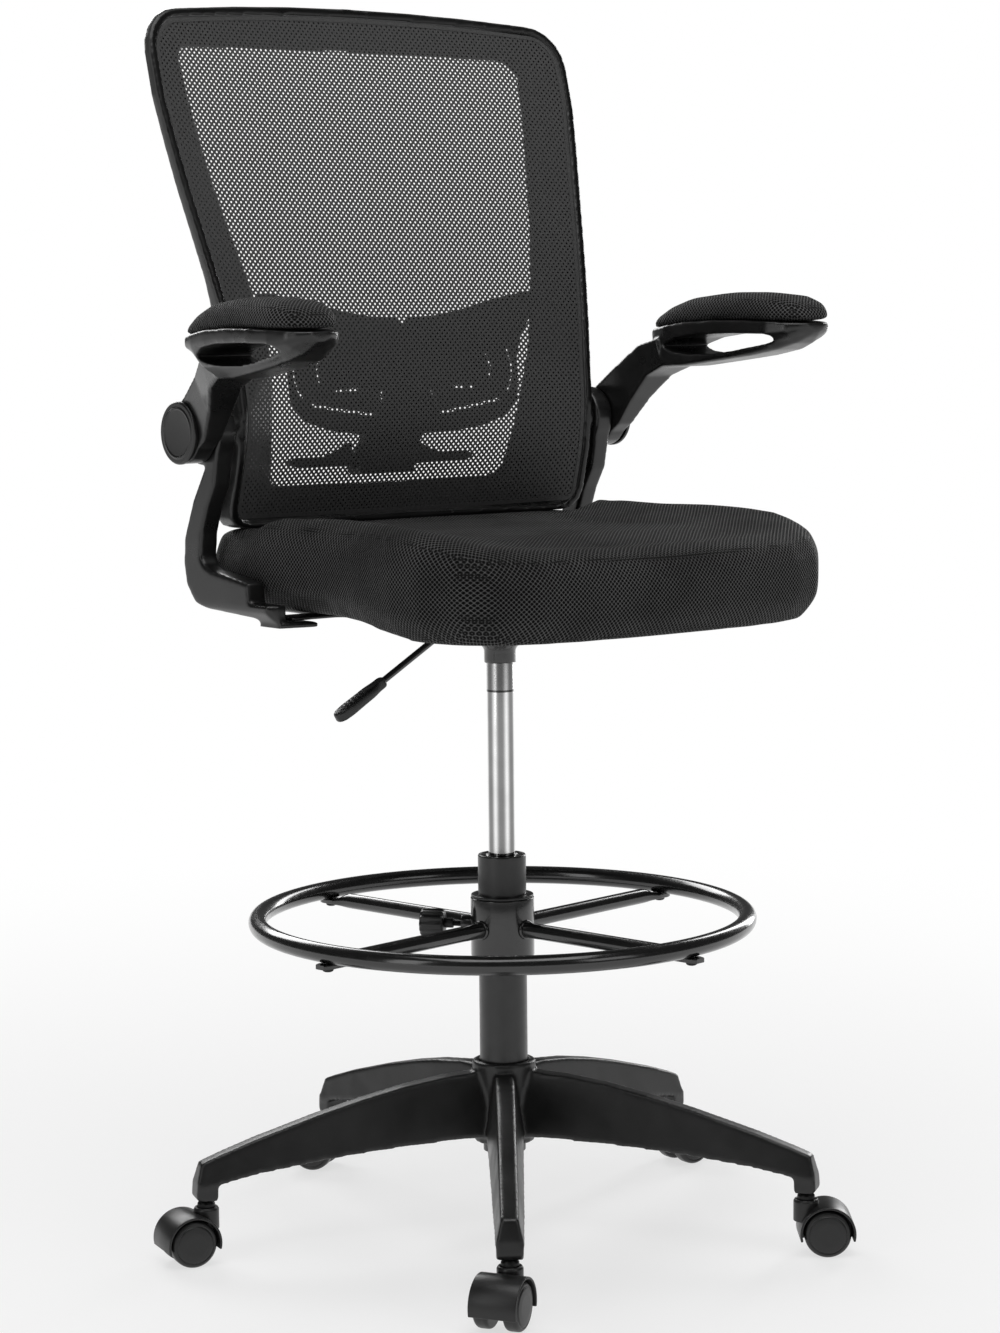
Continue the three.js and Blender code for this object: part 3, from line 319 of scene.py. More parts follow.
def spacer_fabric(name, pitch, hole, thread, sheen):
    """Black spacer mesh: diagonal threads with small dark holes between them, laid on by direction."""
    g = Graph(name, (thread, thread, thread), 0.8)
    x, y, z = g.axes(g.place.outputs["Object"])
    nx, ny, nz = g.axes(g.place.outputs["Normal"])
    step = math.pi / pitch

    def weave(u, v):
        first = g.math("ABSOLUTE", g.math("SINE", g.math("MULTIPLY", g.math("ADD", u, v), step)))
        second = g.math("ABSOLUTE", g.math("SINE", g.math("MULTIPLY", g.math("SUBTRACT", u, v), step)))
        return g.math("SUBTRACT", 1, g.math("MULTIPLY", first, second))

    def share(n):
        return g.math("POWER", g.math("ABSOLUTE", n), 6)

    weights = [share(nz), share(ny), share(nx)]
    total = g.math("ADD", g.math("ADD", weights[0], weights[1]), weights[2])
    planes = [weave(x, y), weave(x, z), weave(y, z)]
    summed = None
    for weight, plane in zip(weights, planes):
        part = g.math("MULTIPLY", weight, plane)
        summed = part if summed is None else g.math("ADD", summed, part)
    height = g.math("DIVIDE", summed, total)
    fuzz = g.noise(2600, 2)
    wear = g.noise(9, 3)
    lit = g.math("MULTIPLY", g.span(height, 0.25, 0.95, 0, 1), g.span(wear, 0.3, 0.7, 0.8, 1.15))
    tones = [(0.0, hole), (0.48, thread * 0.07), (0.7, thread * 0.5), (1.0, thread)]
    g.plug(g.ramp(lit, tones), g.shader.inputs["Base Color"])
    g.plug(g.span(height, 0, 1, 0.95, 0.62), g.shader.inputs["Roughness"])
    g.shader.inputs["Sheen Weight"].default_value = sheen
    g.shader.inputs["Sheen Roughness"].default_value = 0.45
    g.shader.inputs["Specular IOR Level"].default_value = 0.1
    g.bump(fuzz, 0.0002, 0.3)
    g.bump(height, 0.0009, 1.0)
    return g.material


def mesh_thread(name):
    """Dark elastic thread with a little sheen."""
    g = Graph(name, (0.02, 0.02, 0.02), 0.7)
    g.plug(g.ramp(g.noise(700, 2), [(0.3, 0.018), (0.75, 0.045)]), g.shader.inputs["Base Color"])
    g.plug(g.span(g.noise(350, 2), 0.3, 0.7, 0.5, 0.75), g.shader.inputs["Roughness"])
    g.shader.inputs["Sheen Weight"].default_value = 0.08
    g.bump(g.noise(3000, 2), 0.0001, 0.4)
    return g.material


NYLON = moulded_plastic("nylon", 0.007, 0.012, 0.36, 1100, 0.00008)
PLASTIC = moulded_plastic("satin_plastic", 0.004, 0.008, 0.3, 1500, 0.00004)
WHEEL = moulded_plastic("wheel_plastic", 0.009, 0.014, 0.38, 1800, 0.00004)
KNOB = moulded_plastic("knob_plastic", 0.005, 0.009, 0.36, 1500, 0.00003)
GLOSS = painted_steel("gloss_steel", 0.006, 0.22, 0.6)
PAINT = painted_steel("column_paint", 0.012, 0.34, 0.2)
STEEL = bare_metal("bare_steel", 0.42, 0.32)
DARK_STEEL = bare_metal("blackened_steel", 0.035, 0.4)
CHROME = chromed("chromed_tube")
FABRIC = spacer_fabric("spacer_fabric", 0.0047, 0.0004, 0.085, 0.02)
PAD_FABRIC = spacer_fabric("pad_fabric", 0.0044, 0.0006, 0.09, 0.03)
THREAD = mesh_thread("mesh_thread")
FLANGE = frame_plastic("frame_plastic")


# ---------------------------------------------------------------- shape tools

def lookup(table, key):
    """Smooth interpolation in a table of (key, value) pairs with rising keys."""
    keys = [row[0] for row in table]
    if key <= keys[0]:
        return table[0][1]
    if key >= keys[-1]:
        return table[-1][1]
    i = next(k for k in range(1, len(keys)) if key <= keys[k]) - 1

    def slope(k):
        low, high = max(0, k - 1), min(len(table) - 1, k + 1)
        return (table[high][1] - table[low][1]) / (keys[high] - keys[low])

    span = keys[i + 1] - keys[i]
    t = (key - keys[i]) / span
    a, b = table[i][1], table[i + 1][1]
    ma, mb = slope(i) * span, slope(i + 1) * span
    return ((2 * t ** 3 - 3 * t ** 2 + 1) * a + (t ** 3 - 2 * t ** 2 + t) * ma + (3 * t ** 2 - 2 * t ** 3) * b
            + (t ** 3 - t ** 2) * mb)


def rounded(row, radius, closed=False, steps=4):
    """A row of 2-D points with its corners rounded off."""
    points = [Vector(p) for p in row]
    made = []
    count = len(points)
    for i, here in enumerate(points):
        if not closed and i in (0, count - 1):
            made.append(here)
            continue
        before, after = points[i - 1], points[(i + 1) % count]
        reach = min(radius, (before - here).length * 0.45, (after - here).length * 0.45)
        start = here + (before - here).normalized() * reach
        end = here + (after - here).normalized() * reach
        for k in range(steps + 1):
            t = k / steps
            made.append(start * (1 - t) ** 2 + here * 2 * t * (1 - t) + end * t * t)
    return [tuple(p) for p in made]


class Shape:
    """Vertices and faces gathered from several shells."""

    def __init__(self):
        self.verts, self.faces = [], []

    def add(self, verts, faces, matrix=None):
        base = len(self.verts)
        moved = [matrix @ Vector(v) if matrix else Vector(v) for v in verts]
        self.verts += [tuple(v) for v in moved]
        self.faces += [[base + i for i in face] for face in faces]
        return self

    def lathe(self, profile, segments=64, matrix=None):
        verts, faces, rows = [], [], []
        for r, z in profile:
            if r < 1e-6:
                rows.append([len(verts)])
                verts.append((0, 0, z))
                continue
            rows.append(list(range(len(verts), len(verts) + segments)))
            for i in range(segments):
                angle = 2 * math.pi * i / segments
                verts.append((r * math.cos(angle), r * math.sin(angle), z))
        for low, high in zip(rows, rows[1:]):
            for i in range(segments):
                j = (i + 1) % segments
                loop = [low[i % len(low)], low[j % len(low)], high[j % len(high)], high[i % len(high)]]
                face = list(dict.fromkeys(loop))
                if len(face) > 2:
                    faces.append(face)
        return self.add(verts, faces, matrix)

    def loft(self, rings, closed=False, matrix=None):
        count = len(rings[0])
        verts = [p for ring in rings for p in ring]
        faces = []
        for r in range(len(rings) if closed else len(rings) - 1):
            s = (r + 1) % len(rings)
            for i in range(count):
                j = (i + 1) % count
                faces.append([r * count + i, r * count + j, s * count + j, s * count + i])
        if not closed:
            faces.append(list(range(count))[::-1])
            faces.append([(len(rings) - 1) * count + i for i in range(count)])
        return self.add(verts, faces, matrix)

    def plate(self, outline, x0, x1, matrix=None):
        """An outline of (y, z) points pushed along X."""
        return self.loft([[(x0, y, z) for y, z in outline], [(x1, y, z) for y, z in outline]], matrix=matrix)

    def tube(self, points, radius, sides=16, matrix=None):
        points = [Vector(p) for p in points]
        rings = []
        side = None
        for i, here in enumerate(points):
            ahead = (points[min(i + 1, len(points) - 1)] - points[max(i - 1, 0)]).normalized()
            if side is None:
                side = ahead.orthogonal().normalized()
            side = (side - ahead * side.dot(ahead)).normalized()
            other = ahead.cross(side)
            angles = [2 * math.pi * k / sides for k in range(sides)]
            rings.append([here + (side * math.cos(a) + other * math.sin(a)) * radius for a in angles])
        return self.loft(rings, matrix=matrix)

    def torus(self, ring, tube, segments=160, sides=24, matrix=None):
        rings = []
        for i in range(segments):
            a = 2 * math.pi * i / segments
            rings.append([((ring + tube * math.cos(2 * math.pi * k / sides)) * math.cos(a),
                           (ring + tube * math.cos(2 * math.pi * k / sides)) * math.sin(a),
                           tube * math.sin(2 * math.pi * k / sides)) for k in range(sides)])
        return self.loft(rings, closed=True, matrix=matrix)

    def mesh(self, name, matrix=PLACE):
        mesh = bpy.data.meshes.new(name)
        mesh.from_pydata([MM @ (matrix @ Vector(v)) for v in self.verts], [], self.faces)
        work = bmesh.new()
        work.from_mesh(mesh)
        bmesh.ops.remove_doubles(work, verts=work.verts, dist=1e-6)
        bmesh.ops.recalc_face_normals(work, faces=work.faces)
        work.to_mesh(mesh)
        work.free()
        return mesh


def shown(name, mesh, material, body, nodes, sharp=32, matrix=None):
    """Puts a mesh in the scene on its body, with its finish, in place of the CAD nodes it stands for."""
    if not mesh.materials:
        mesh.materials.append(material)
    mesh.shade_smooth()
    mesh.set_sharp_from_angle(angle=sharp * DEG)
    piece = bpy.data.objects.new(name, mesh)
    bpy.context.scene.collection.objects.link(piece)
    if matrix:
        piece.matrix_world = matrix
    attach(piece, body)
    if nodes:
        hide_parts(*nodes)
    return piece


def settle(piece):
    """Turns the piece's modifiers into its mesh."""
    bpy.context.view_layer.update()
    final = piece.evaluated_get(bpy.context.evaluated_depsgraph_get())
    mesh = bpy.data.meshes.new_from_object(final)
    piece.modifiers.clear()
    piece.data = mesh
    return mesh


def cad_copy(*nodes):
    """The joined triangles of CAD nodes, without their split corners."""
    verts, faces = [], []
    for node in nodes:
        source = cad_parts[node].data
        base = len(verts)
        verts += [v.co.copy() for v in source.vertices]
        faces += [[base + i for i in polygon.vertices] for polygon in source.polygons]
    mesh = bpy.data.meshes.new(nodes[0] + "_copy")
    mesh.from_pydata(verts, [], faces)
    work = bmesh.new()
    work.from_mesh(mesh)
    bmesh.ops.remove_doubles(work, verts=work.verts, dist=2e-6)
    bmesh.ops.recalc_face_normals(work, faces=work.faces)
    work.to_mesh(mesh)
    work.free()
    return mesh


def temporary(mesh):
    piece = bpy.data.objects.new("work", mesh)
    bpy.context.scene.collection.objects.link(piece)
    return piece


def softened(node, voxel, passes):
    """A CAD node's shape on a fine even grid, its edges rounded as a mould leaves them."""
    work = temporary(cad_copy(node))
    grid = work.modifiers.new("grid", "REMESH")
    grid.mode, grid.voxel_size = "VOXEL", voxel
    smooth = work.modifiers.new("smooth", "SMOOTH")
    smooth.factor, smooth.iterations = 0.5, passes
    mesh = settle(work)
    bpy.data.objects.remove(work)
    return mesh


def bevelled(shape, name, width, angle=35, matrix=PLACE, segments=3):
    """A shape with its edges rounded by a small bevel."""
    work = temporary(shape.mesh(name, matrix))
    bevel = work.modifiers.new("bevel", "BEVEL")
    bevel.width, bevel.segments, bevel.limit_method = width * 0.001, segments, "ANGLE"
    bevel.angle_limit = angle * DEG
    mesh = settle(work)
    bpy.data.objects.remove(work)
    return mesh


def turned_about(degrees):
    """A turn about Z that takes straight ahead (-Y) towards +X."""
    return Matrix.Rotation(degrees * DEG, 4, "Z")


# ---------------------------------------------------------------- soft pieces

def coordinates(mesh):
    flat = np.zeros(len(mesh.vertices) * 3, np.float32)
    mesh.vertices.foreach_get("co", flat)
    return flat.reshape(-1, 3)


def put_coordinates(mesh, points):
    mesh.vertices.foreach_set("co", points.astype(np.float32).ravel())
    mesh.update()


def evened(mesh, field, rounds):
    """A vector per vertex, averaged with its neighbours so that the cover swells without lumps."""
    pairs = np.zeros(len(mesh.edges) * 2, np.int32)
    mesh.edges.foreach_get("vertices", pairs)
    a, b = pairs[0::2], pairs[1::2]
    count = np.bincount(np.concatenate((a, b)), minlength=len(field))[:, None]
    for _ in range(rounds):
        total = np.stack([np.bincount(a, field[b, k], len(field)) + np.bincount(b, field[a, k], len(field))
                          for k in range(3)], axis=1)
        field = 0.5 * field + 0.5 * total / np.maximum(count, 1)
    return field


def stuffed(name, nodes, draw_in, voxel, cap, pressure, held_below, passes=10):
    """A cushion's cover blown up from inside by cloth simulation, held along its fixed underside."""
    mesh = cad_copy(*nodes)
    work = bmesh.new()
    work.from_mesh(mesh)
    work.normal_update()
    for vert in work.verts:
        vert.co -= vert.normal * draw_in
    work.to_mesh(mesh)
    work.free()
    piece = temporary(mesh)
    grid = piece.modifiers.new("grid", "REMESH")
    grid.mode, grid.voxel_size = "VOXEL", voxel
    smooth = piece.modifiers.new("smooth", "SMOOTH")
    smooth.factor, smooth.iterations = 0.5, 4
    mesh = settle(piece)
    start = coordinates(mesh).copy()
    held = piece.vertex_groups.new(name="held")
    held.add([i for i, z in enumerate(start[:, 2]) if z < held_below], 1.0, "REPLACE")
    cloth = piece.modifiers.new("cloth", "CLOTH")
    cloth.settings.quality = 4
    cloth.settings.mass = 0.3
    cloth.settings.tension_stiffness = 12
    cloth.settings.compression_stiffness = 12
    cloth.settings.shear_stiffness = 6
    cloth.settings.bending_stiffness = 1.5
    cloth.settings.use_pressure = True
    cloth.settings.uniform_pressure_force = pressure
    cloth.settings.shrink_min = -0.015
    cloth.settings.effector_weights.gravity = 0
    cloth.settings.vertex_group_mass = "held"
    cloth.point_cache.frame_start, cloth.point_cache.frame_end = 1, 20
    for number in range(1, 21):
        bpy.context.scene.frame_set(number)
    mesh = settle(piece)
    bpy.context.scene.frame_set(1)
    move = coordinates(mesh) - start
    length = np.linalg.norm(move, axis=1, keepdims=True)
    move *= np.minimum(1, cap / np.maximum(length, 1e-9))
    put_coordinates(mesh, start + evened(mesh, move, 60))
    smooth = piece.modifiers.new("smooth", "SMOOTH")
    smooth.factor, smooth.iterations = 0.5, passes
    finer = piece.modifiers.new("finer", "SUBSURF")
    finer.levels = finer.render_levels = 1
    mesh = settle(piece)
    mesh.name = name
    bpy.data.objects.remove(piece)
    return mesh


def eased(value, low, high):
    t = np.clip((value - low) / (high - low), 0, 1)
    return t * t * (3 - 2 * t)


def seated(mesh):
    """The cushion's rear is pressed up against the back's lower edge, and its front hem hangs lower."""
    points = coordinates(mesh)
    x, y, z = points.T
    lift = 0.004 * eased(y, 0.06, 0.11) * eased(z, 0.70, 0.725)
    lift += 0.005 * eased(np.abs(x), 0.185, 0.215) * eased(y, 0.02, 0.08) * eased(z, 0.69, 0.73)
    drop = 0.006 * eased(-y, 0.02, 0.14) * eased(-z, -0.70, -0.662)
    points[:, 2] += lift - drop
    points[:, 0] += np.sign(x) * 0.003 * eased(np.abs(x), 0.17, 0.22) * eased(y, -0.02, 0.06)
    put_coordinates(mesh, points)
    return mesh


seat_mesh = seated(stuffed("seat_cushion_cover", ["seat_cushion"], 0.002, 0.005, 0.006, 4.0, 0.662, 8))
seat = shown("seat_cushion_cover", seat_mesh, FABRIC, "seat", ["seat_cushion"], 180)

for side in ("left", "right"):
    low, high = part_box("arm_pad_" + side)
    cover_mesh = stuffed("arm_pad_cover_" + side, ["arm_pad_" + side], 0.002, 0.003, 0.004, 4.0,
                         low.z + 0.006, 6)
    cover = shown("arm_pad_cover_" + side, cover_mesh, PAD_FABRIC, "arm_" + side,
                  ["arm_pad_" + side], 180)


# ---------------------------------------------------------------- back: mesh and frame

# Each by height: how far back the front face stands at its sides, half its width, and how much further back
# it stands in its middle.
BACK_PROFILE = [(740, 151), (760, 145.5), (790, 137), (820, 129), (850, 124.5), (875, 124.5), (900, 128),
                (950, 137), (1000, 150.5), (1050, 165), (1100, 180), (1150, 193.5), (1200, 207), (1250, 220),
                (1290, 230)]
BACK_HALF = [(740, 233), (790, 233), (850, 231), (900, 233), (950, 238.5), (1000, 246.5), (1100, 262),
             (1150, 268.5), (1200, 274), (1241, 272.5), (1290, 272.5)]
BACK_BOW = [(740, 14), (850, 16.5), (900, 16), (950, 13), (1050, 13), (1150, 17), (1290, 22)]
BACK_TOP, BACK_BOTTOM = 1287, 747
THREAD_GAP = 4.5
THREAD_HALF = 1.3


def back_front(x, z):
    share = min(1, abs(x) / lookup(BACK_HALF, z))
    return lookup(BACK_PROFILE, z) + lookup(BACK_BOW, z) * (1 - share * share)


def back_outline(inset):
    """The back's outer edge drawn in, from the middle of its top round to the same place."""
    top, low, corner, foot, crown = BACK_TOP - inset, BACK_BOTTOM + inset, 46 - inset, max(8, 22 - inset), 10
    side_top, side_low = top - crown - corner, low + foot
    start = lookup(BACK_HALF, side_top) - inset - corner
    half = [(start * i / 8, top - crown * (i / 8) ** 2) for i in range(9)]
    for a in range(10, 91, 10):
        half.append((start + corner * math.sin(a * DEG), side_top + corner * math.cos(a * DEG)))
    for i in range(1, 31):
        z = side_top + (side_low - side_top) * i / 30
        half.append((lookup(BACK_HALF, z) - inset, z))
    end = lookup(BACK_HALF, side_low) - inset - foot
    half += [(end + foot * math.cos(a * DEG), side_low - foot * math.sin(a * DEG)) for a in range(15, 91, 15)]
    half += [(end * (1 - i / 8), low - 3 * i / 8) for i in range(1, 9)]
    return half + [(-x, z) for x, z in half[-2:0:-1]]


def net():
    """Diagonal threads with open holes between them, cut to the back's outline."""
    edge = np.array(back_outline(10.9))
    low, high = edge.min(0), edge.max(0)
    slant = math.sqrt(0.5)
    reach = int((high - low).max() * 1.1 / THREAD_GAP)
    middle = (low + high) / 2
    steps = np.arange(-reach, reach + 1) * THREAD_GAP
    a, b = np.meshgrid(steps, steps, indexing="ij")
    xs = middle[0] + (a + b) * slant
    zs = middle[1] + (a - b) * slant

    nxt = np.roll(edge, -1, 0)

    def within(px, pz):
        hit = np.zeros(px.shape, bool)
        for (x0, z0), (x1, z1) in zip(edge, nxt):
            cross = (z0 > pz) != (z1 > pz)
            with np.errstate(divide="ignore", invalid="ignore"):
                at = (x1 - x0) * (pz - z0) / (z1 - z0) + x0
            hit ^= cross & (px < at)
        return hit

    inside = within(xs, zs)
    cells = inside[:-1, :-1] | inside[1:, :-1] | inside[1:, 1:] | inside[:-1, 1:]
    index = -np.ones(xs.shape, int)
    verts, faces = [], []

    def nearest(px, pz):
        p = np.array((px, pz))
        along = nxt - edge
        t = np.clip(((p - edge) * along).sum(1) / (along * along).sum(1), 0, 1)
        spots = edge + along * t[:, None]
        return spots[np.argmin(((spots - p) ** 2).sum(1))]

    for i, j in zip(*np.nonzero(cells)):
        face = []
        for k, l in ((i, j), (i + 1, j), (i + 1, j + 1), (i, j + 1)):
            if index[k, l] < 0:
                px, pz = xs[k, l], zs[k, l]
                if not inside[k, l]:
                    px, pz = nearest(px, pz)
                index[k, l] = len(verts)
                verts.append((px, pz))
            face.append(index[k, l])
        faces.append(face)
    flat = np.array(verts)
    # Each cell keeps a rim as wide as half a thread, and its middle stays open
    total = len(flat)
    made = [tuple(p) for p in flat]
    out = []
    share = THREAD_HALF * 2 / THREAD_GAP
    for face in faces:
        corners = flat[face]
        centre = corners.mean(0)
        inner = []
        for corner in corners:
            made.append(tuple(corner + (centre - corner) * share))
            inner.append(total)
            total += 1
        for k in range(4):
            m = (k + 1) % 4
            out.append([face[k], face[m], inner[m], inner[k]])
    shape = Shape()
    shape.verts = [(x, back_front(x, z) + 1.9, z) for x, z in made]
    shape.faces = out
    return shape


net_shape = net()
net_mesh = bpy.data.meshes.new("back_net")
net_mesh.from_pydata([MM @ (PLACE @ Vector(v)) for v in net_shape.verts], [], net_shape.faces)
net_mesh.update()
net_piece = shown("back_net", net_mesh, THREAD, "seat", ["back_mesh"], 180)

hem = Shape()
hem_rings = []
for inset, behind in ((10.4, 1.4), (14.5, 1.4), (14.5, 2.6), (10.4, 2.6)):
    hem_rings.append([(x, back_front(x, z) + behind, z) for x, z in back_outline(inset)])
hem.loft(hem_rings, closed=True)
hem_piece = shown("back_net_hem", hem.mesh("back_net_hem"), THREAD, "seat", [], 60)

shown("back_frame_shell", softened("back_frame", 0.0022, 5), FLANGE, "seat",
      ["back_frame"], 180)


# ---------------------------------------------------------------- arms, brackets and lumbar support

CAP_FACE, PIVOT_Y, PIVOT_Z = 288, 157, 847

for side in ("left", "right"):
    shown("arm_shell_" + side, softened("arm_" + side, 0.0015, 20), PLASTIC, "arm_" + side,
          ["arm_" + side], 180)
    shown("bracket_shell_" + side, softened("bracket_" + side, 0.0016, 24), PLASTIC, "seat",
          ["bracket_" + side], 180)
    sign = 1 if side == "left" else -1
    cap = Shape()
    face = rounded([(0, 0.9), (23.4, 0.9), (24.2, 0.2), (25.4, 0.2), (26.4, 0.9), (30.4, 0.7), (31.8, 2),
                    (31.8, 5.5), (6, 5.5), (6, 51), (0, 51)], 0.6)
    facing_out = Matrix.Rotation(-sign * math.pi / 2, 4, "Y")
    cap.lathe(face, 72, Matrix.Translation((sign * CAP_FACE, PIVOT_Y, PIVOT_Z)) @ facing_out)
    shown("pivot_cap_" + side, cap.mesh("pivot_cap_" + side), PLASTIC, "seat",
          ["pivot_bolt_" + side])

shown("lumbar_plate", softened("lumbar_pad", 0.0013, 3), PLASTIC, "lumbar",
      ["lumbar_pad"], 180)
shown("lumbar_bridge", softened("lumbar_carrier", 0.0014, 4), PLASTIC, "lumbar",
      ["lumbar_carrier"], 180)
shown("lumbar_grip", softened("lumbar_handle", 0.0013, 5), PLASTIC, "lumbar",
      ["lumbar_handle"], 180)


# ---------------------------------------------------------------- seat fittings and lever

shown("seat_board", softened("seat_pan", 0.003, 2), PLASTIC, "seat", ["seat_pan"], 180)
shown("mechanism_housing", softened("seat_mechanism", 0.0016, 4), GLOSS, "seat",
      ["seat_mechanism"], 180)

rod = Shape()
bends = [(-48, 0, 652.8), (-58, -8, 652.4), (-70, -16, 651), (-80, -22, 649.2), (-90, -26.5, 646.6),
         (-98, -29, 643.6), (-106, -30, 640), (-125, -30, 629.1), (-182, -30, 596.5)]
rod.tube(bends, 3.4, 20)
rod.plate([(-6.5, 651.4), (6.5, 651.4), (6.5, 654.4), (-6.5, 654.4)], -51, 3)
rod.tube([(-45, -45.5, 652.8), (-45, 45.5, 652.8)], 3, 20)
shown("lever_bar", rod.mesh("lever_bar"), GLOSS, "lever", ["lever_rod"])


def lever_paddle():
    """Flat grip with rounded edges and a few plain cross ribs."""
    tilt = Matrix.Translation((-171, -30, 602.8)) @ Matrix.Rotation(-29.8 * DEG, 4, "Y")
    half = [(1, 4.7), (-9, 5), (-16, 7), (-24, 8.4), (-52, 8.6), (-62, 7), (-66.4, 3.4)]
    outline = rounded(half + [(x, -y) for x, y in half[::-1]], 4, closed=True, steps=3)
    shape = Shape()
    rings = []
    for depth, inset in ((-5, 1.8), (-4.4, 0.7), (-3, 0), (2.6, 0), (3.9, 0.6), (4.5, 1.8)):
        ring = []
        for x, y in outline:
            k = 1 - inset / max(1, math.hypot(x + 33, y))
            ring.append((-33 + (x + 33) * k, y * k, depth))
        rings.append(ring)
    shape.loft(rings, matrix=tilt)
    for i in range(6):
        x = -27 - 5.2 * i
        section = [(x - 1.1, 4.2), (x - 0.8, 5.0), (x, 5.3), (x + 0.8, 5.0), (x + 1.1, 4.2)]
        shape.loft([[(px, y, pz - abs(y) * 0.02) for px, pz in section] for y in (-5.8, -5.4, 0, 5.4, 5.8)],
                   matrix=tilt)
    return shape.mesh("lever_grip")


shown("lever_grip", lever_paddle(), KNOB, "lever", ["lever_paddle"], 40)


# ---------------------------------------------------------------- column and gas spring

def lathe_piece(name, profile, radius, material, body, nodes, segments=80):
    shape = Shape().lathe(rounded(profile, radius), segments)
    return shown(name, shape.mesh(name), material, body, nodes, 40)


lathe_piece("column_sleeve", [(5.25, 93), (22.1, 93), (22.1, 103), (25, 190), (25, 404.6), (24.2, 406),
                              (22.5, 406), (22.5, 190), (19.6, 97), (5.25, 97), (5.25, 93)], 0.5, PAINT,
            "base", ["column_tube"])
lathe_piece("guide_bush", [(14.2, 372), (22.4, 372), (22.4, 405.4), (17.2, 405.4), (14.2, 402), (14.2, 372)],
            0.4, PLASTIC, "base", ["column_guide_bush"])
lathe_piece("gas_tube", [(5.25, 326), (14, 326), (14, 646), (4.3, 646), (4.3, 631), (0, 631)], 0.5, CHROME,
            "seat", ["gas_cylinder"])


# ---------------------------------------------------------------- foot ring

RING_TURNS = [9.1 + 90 * i for i in range(4)]
RING_RADIUS, RING_TUBE, RING_HEIGHT = 254, 9.6, 339.5
CLAMP_TURN, CLAMP_HEIGHT = -138, 332
# Turns a lathe's upright axis into the clamp's, which points out from the column.
CLAMP = (turned_about(CLAMP_TURN) @ Matrix.Translation((0, 0, CLAMP_HEIGHT))
         @ Matrix.Rotation(math.pi / 2, 4, "X"))
ring_shape = Shape().torus(RING_RADIUS, RING_TUBE, 200, 28, Matrix.Translation((0, 0, RING_HEIGHT)))
shown("ring_tube", ring_shape.mesh("ring_tube"), GLOSS, "foot_ring", ["foot_ring"], 60)


def spider():
    """Collar with four spoke tubes, flattened into tabs under the ring, and the clamp's boss."""
    shape = Shape()
    shape.lathe(rounded([(28.8, 300), (33, 300), (33, 361), (28.8, 361), (28.8, 300)], 0.8), 72)
    tab_low, tab_top = 325.1, 329.6
    middle = (tab_low + tab_top) / 2
    for turn in RING_TURNS:
        rings = []
        for out, flat in ((30, 0), (200, 0), (224, 0), (229, 0.12), (234, 0.4), (239, 0.75), (243, 0.95),
                          (246, 1), (258, 1), (263, 1.05), (265.5, 1.1)):
            ring = []
            for k in range(24):
                angle = 2 * math.pi * k / 24
                c, s = math.cos(angle), math.sin(angle)
                wide = max(-1, min(1, c * 1.35))
                high = max(-1, min(1, s * 1.6))
                squeeze = min(1, flat)
                x = 8 * c * (1 - squeeze) + 9.2 * wide * squeeze
                z = 330 + 8 * s
                z = z * (1 - squeeze) + (middle + 2.25 * high) * squeeze
                if flat > 1:
                    x *= 1 - (flat - 1) * 4
                ring.append((x, -out, z))
            rings.append(ring)
        shape.loft(rings, matrix=turned_about(turn))
        bead = Matrix.Translation((0, -33.2, 330)) @ Matrix.Rotation(math.pi / 2, 4, "X")
        shape.torus(8.6, 1.7, 28, 10, turned_about(turn) @ bead)
    boss = rounded([(3.3, 30), (9, 30), (9, 43), (3.3, 43), (3.3, 30)], 0.8)
    shape.lathe(boss, 36, CLAMP)
    return shape.mesh("ring_spider")


shown("ring_spider", spider(), GLOSS, "foot_ring", ["foot_ring_spider"], 40)
lathe_piece("ring_collar", [(25.25, 301), (28.5, 301), (28.5, 361.4), (32.4, 361.4), (32.4, 364.2),
                            (25.25, 364.2), (25.25, 301)], 0.8, PLASTIC, "foot_ring",
            ["foot_ring_bush"])

screw = Shape().lathe(rounded([(0, 29.6), (2.9, 29.6), (2.9, 52), (5.2, 52), (5.2, 61), (2.9, 61), (2.9, 78),
                               (0, 78)], 0.4), 28, CLAMP)
for i in range(14):
    screw.torus(2.95, 0.28, 28, 6, CLAMP @ Matrix.Translation((0, 0, 43.6 + 0.6 * i)))
shown("clamp_stud", screw.mesh("clamp_stud"), DARK_STEEL, "clamp_screw", ["clamp_screw"])


def knob():
    """Ribbed grip: a fluted barrel with rounded ends and a shallow dish in its outer face."""
    rings = []
    for along, size in ((61.3, 0.86), (62.2, 0.95), (64, 1), (83, 1), (85.2, 0.95), (86.3, 0.84), (86.5, 0.7),
                        (85.6, 0.55), (85.4, 0.02)):
        ring = []
        for k in range(120):
            angle = 2 * math.pi * k / 120
            depth = 1.45 if 0.8 < size else 0
            radius = (14.9 - depth * abs(math.sin(6 * angle)) ** 1.5) * size
            ring.append((radius * math.cos(angle), radius * math.sin(angle), along))
        rings.append(ring)
    return Shape().loft(rings, matrix=CLAMP).mesh("clamp_grip")


shown("clamp_grip", knob(), KNOB, "clamp_knob", ["clamp_knob"], 50)

for i, turn in enumerate(RING_TURNS):
    head = [(0, 321.3), (3.5, 321.5), (5.2, 322.4), (5.8, 323.6), (5.8, 324.9), (2.6, 324.9), (2.6, 336.5),
            (0, 336.5)]
    under_ring = turned_about(turn) @ Matrix.Translation((0, -RING_RADIUS, 0))
    bolt = Shape().lathe(rounded(head, 0.4), 32, under_ring)
    shown(f"ring_bolt_{i + 1}", bolt.mesh(f"ring_bolt_{i + 1}"), DARK_STEEL, "foot_ring",
          [f"ring_screw_{i + 1}"])


# ---------------------------------------------------------------- star base and casters

shown("star_base", softened("base_star", 0.002, 10), NYLON, "base", ["base_star"], 180)

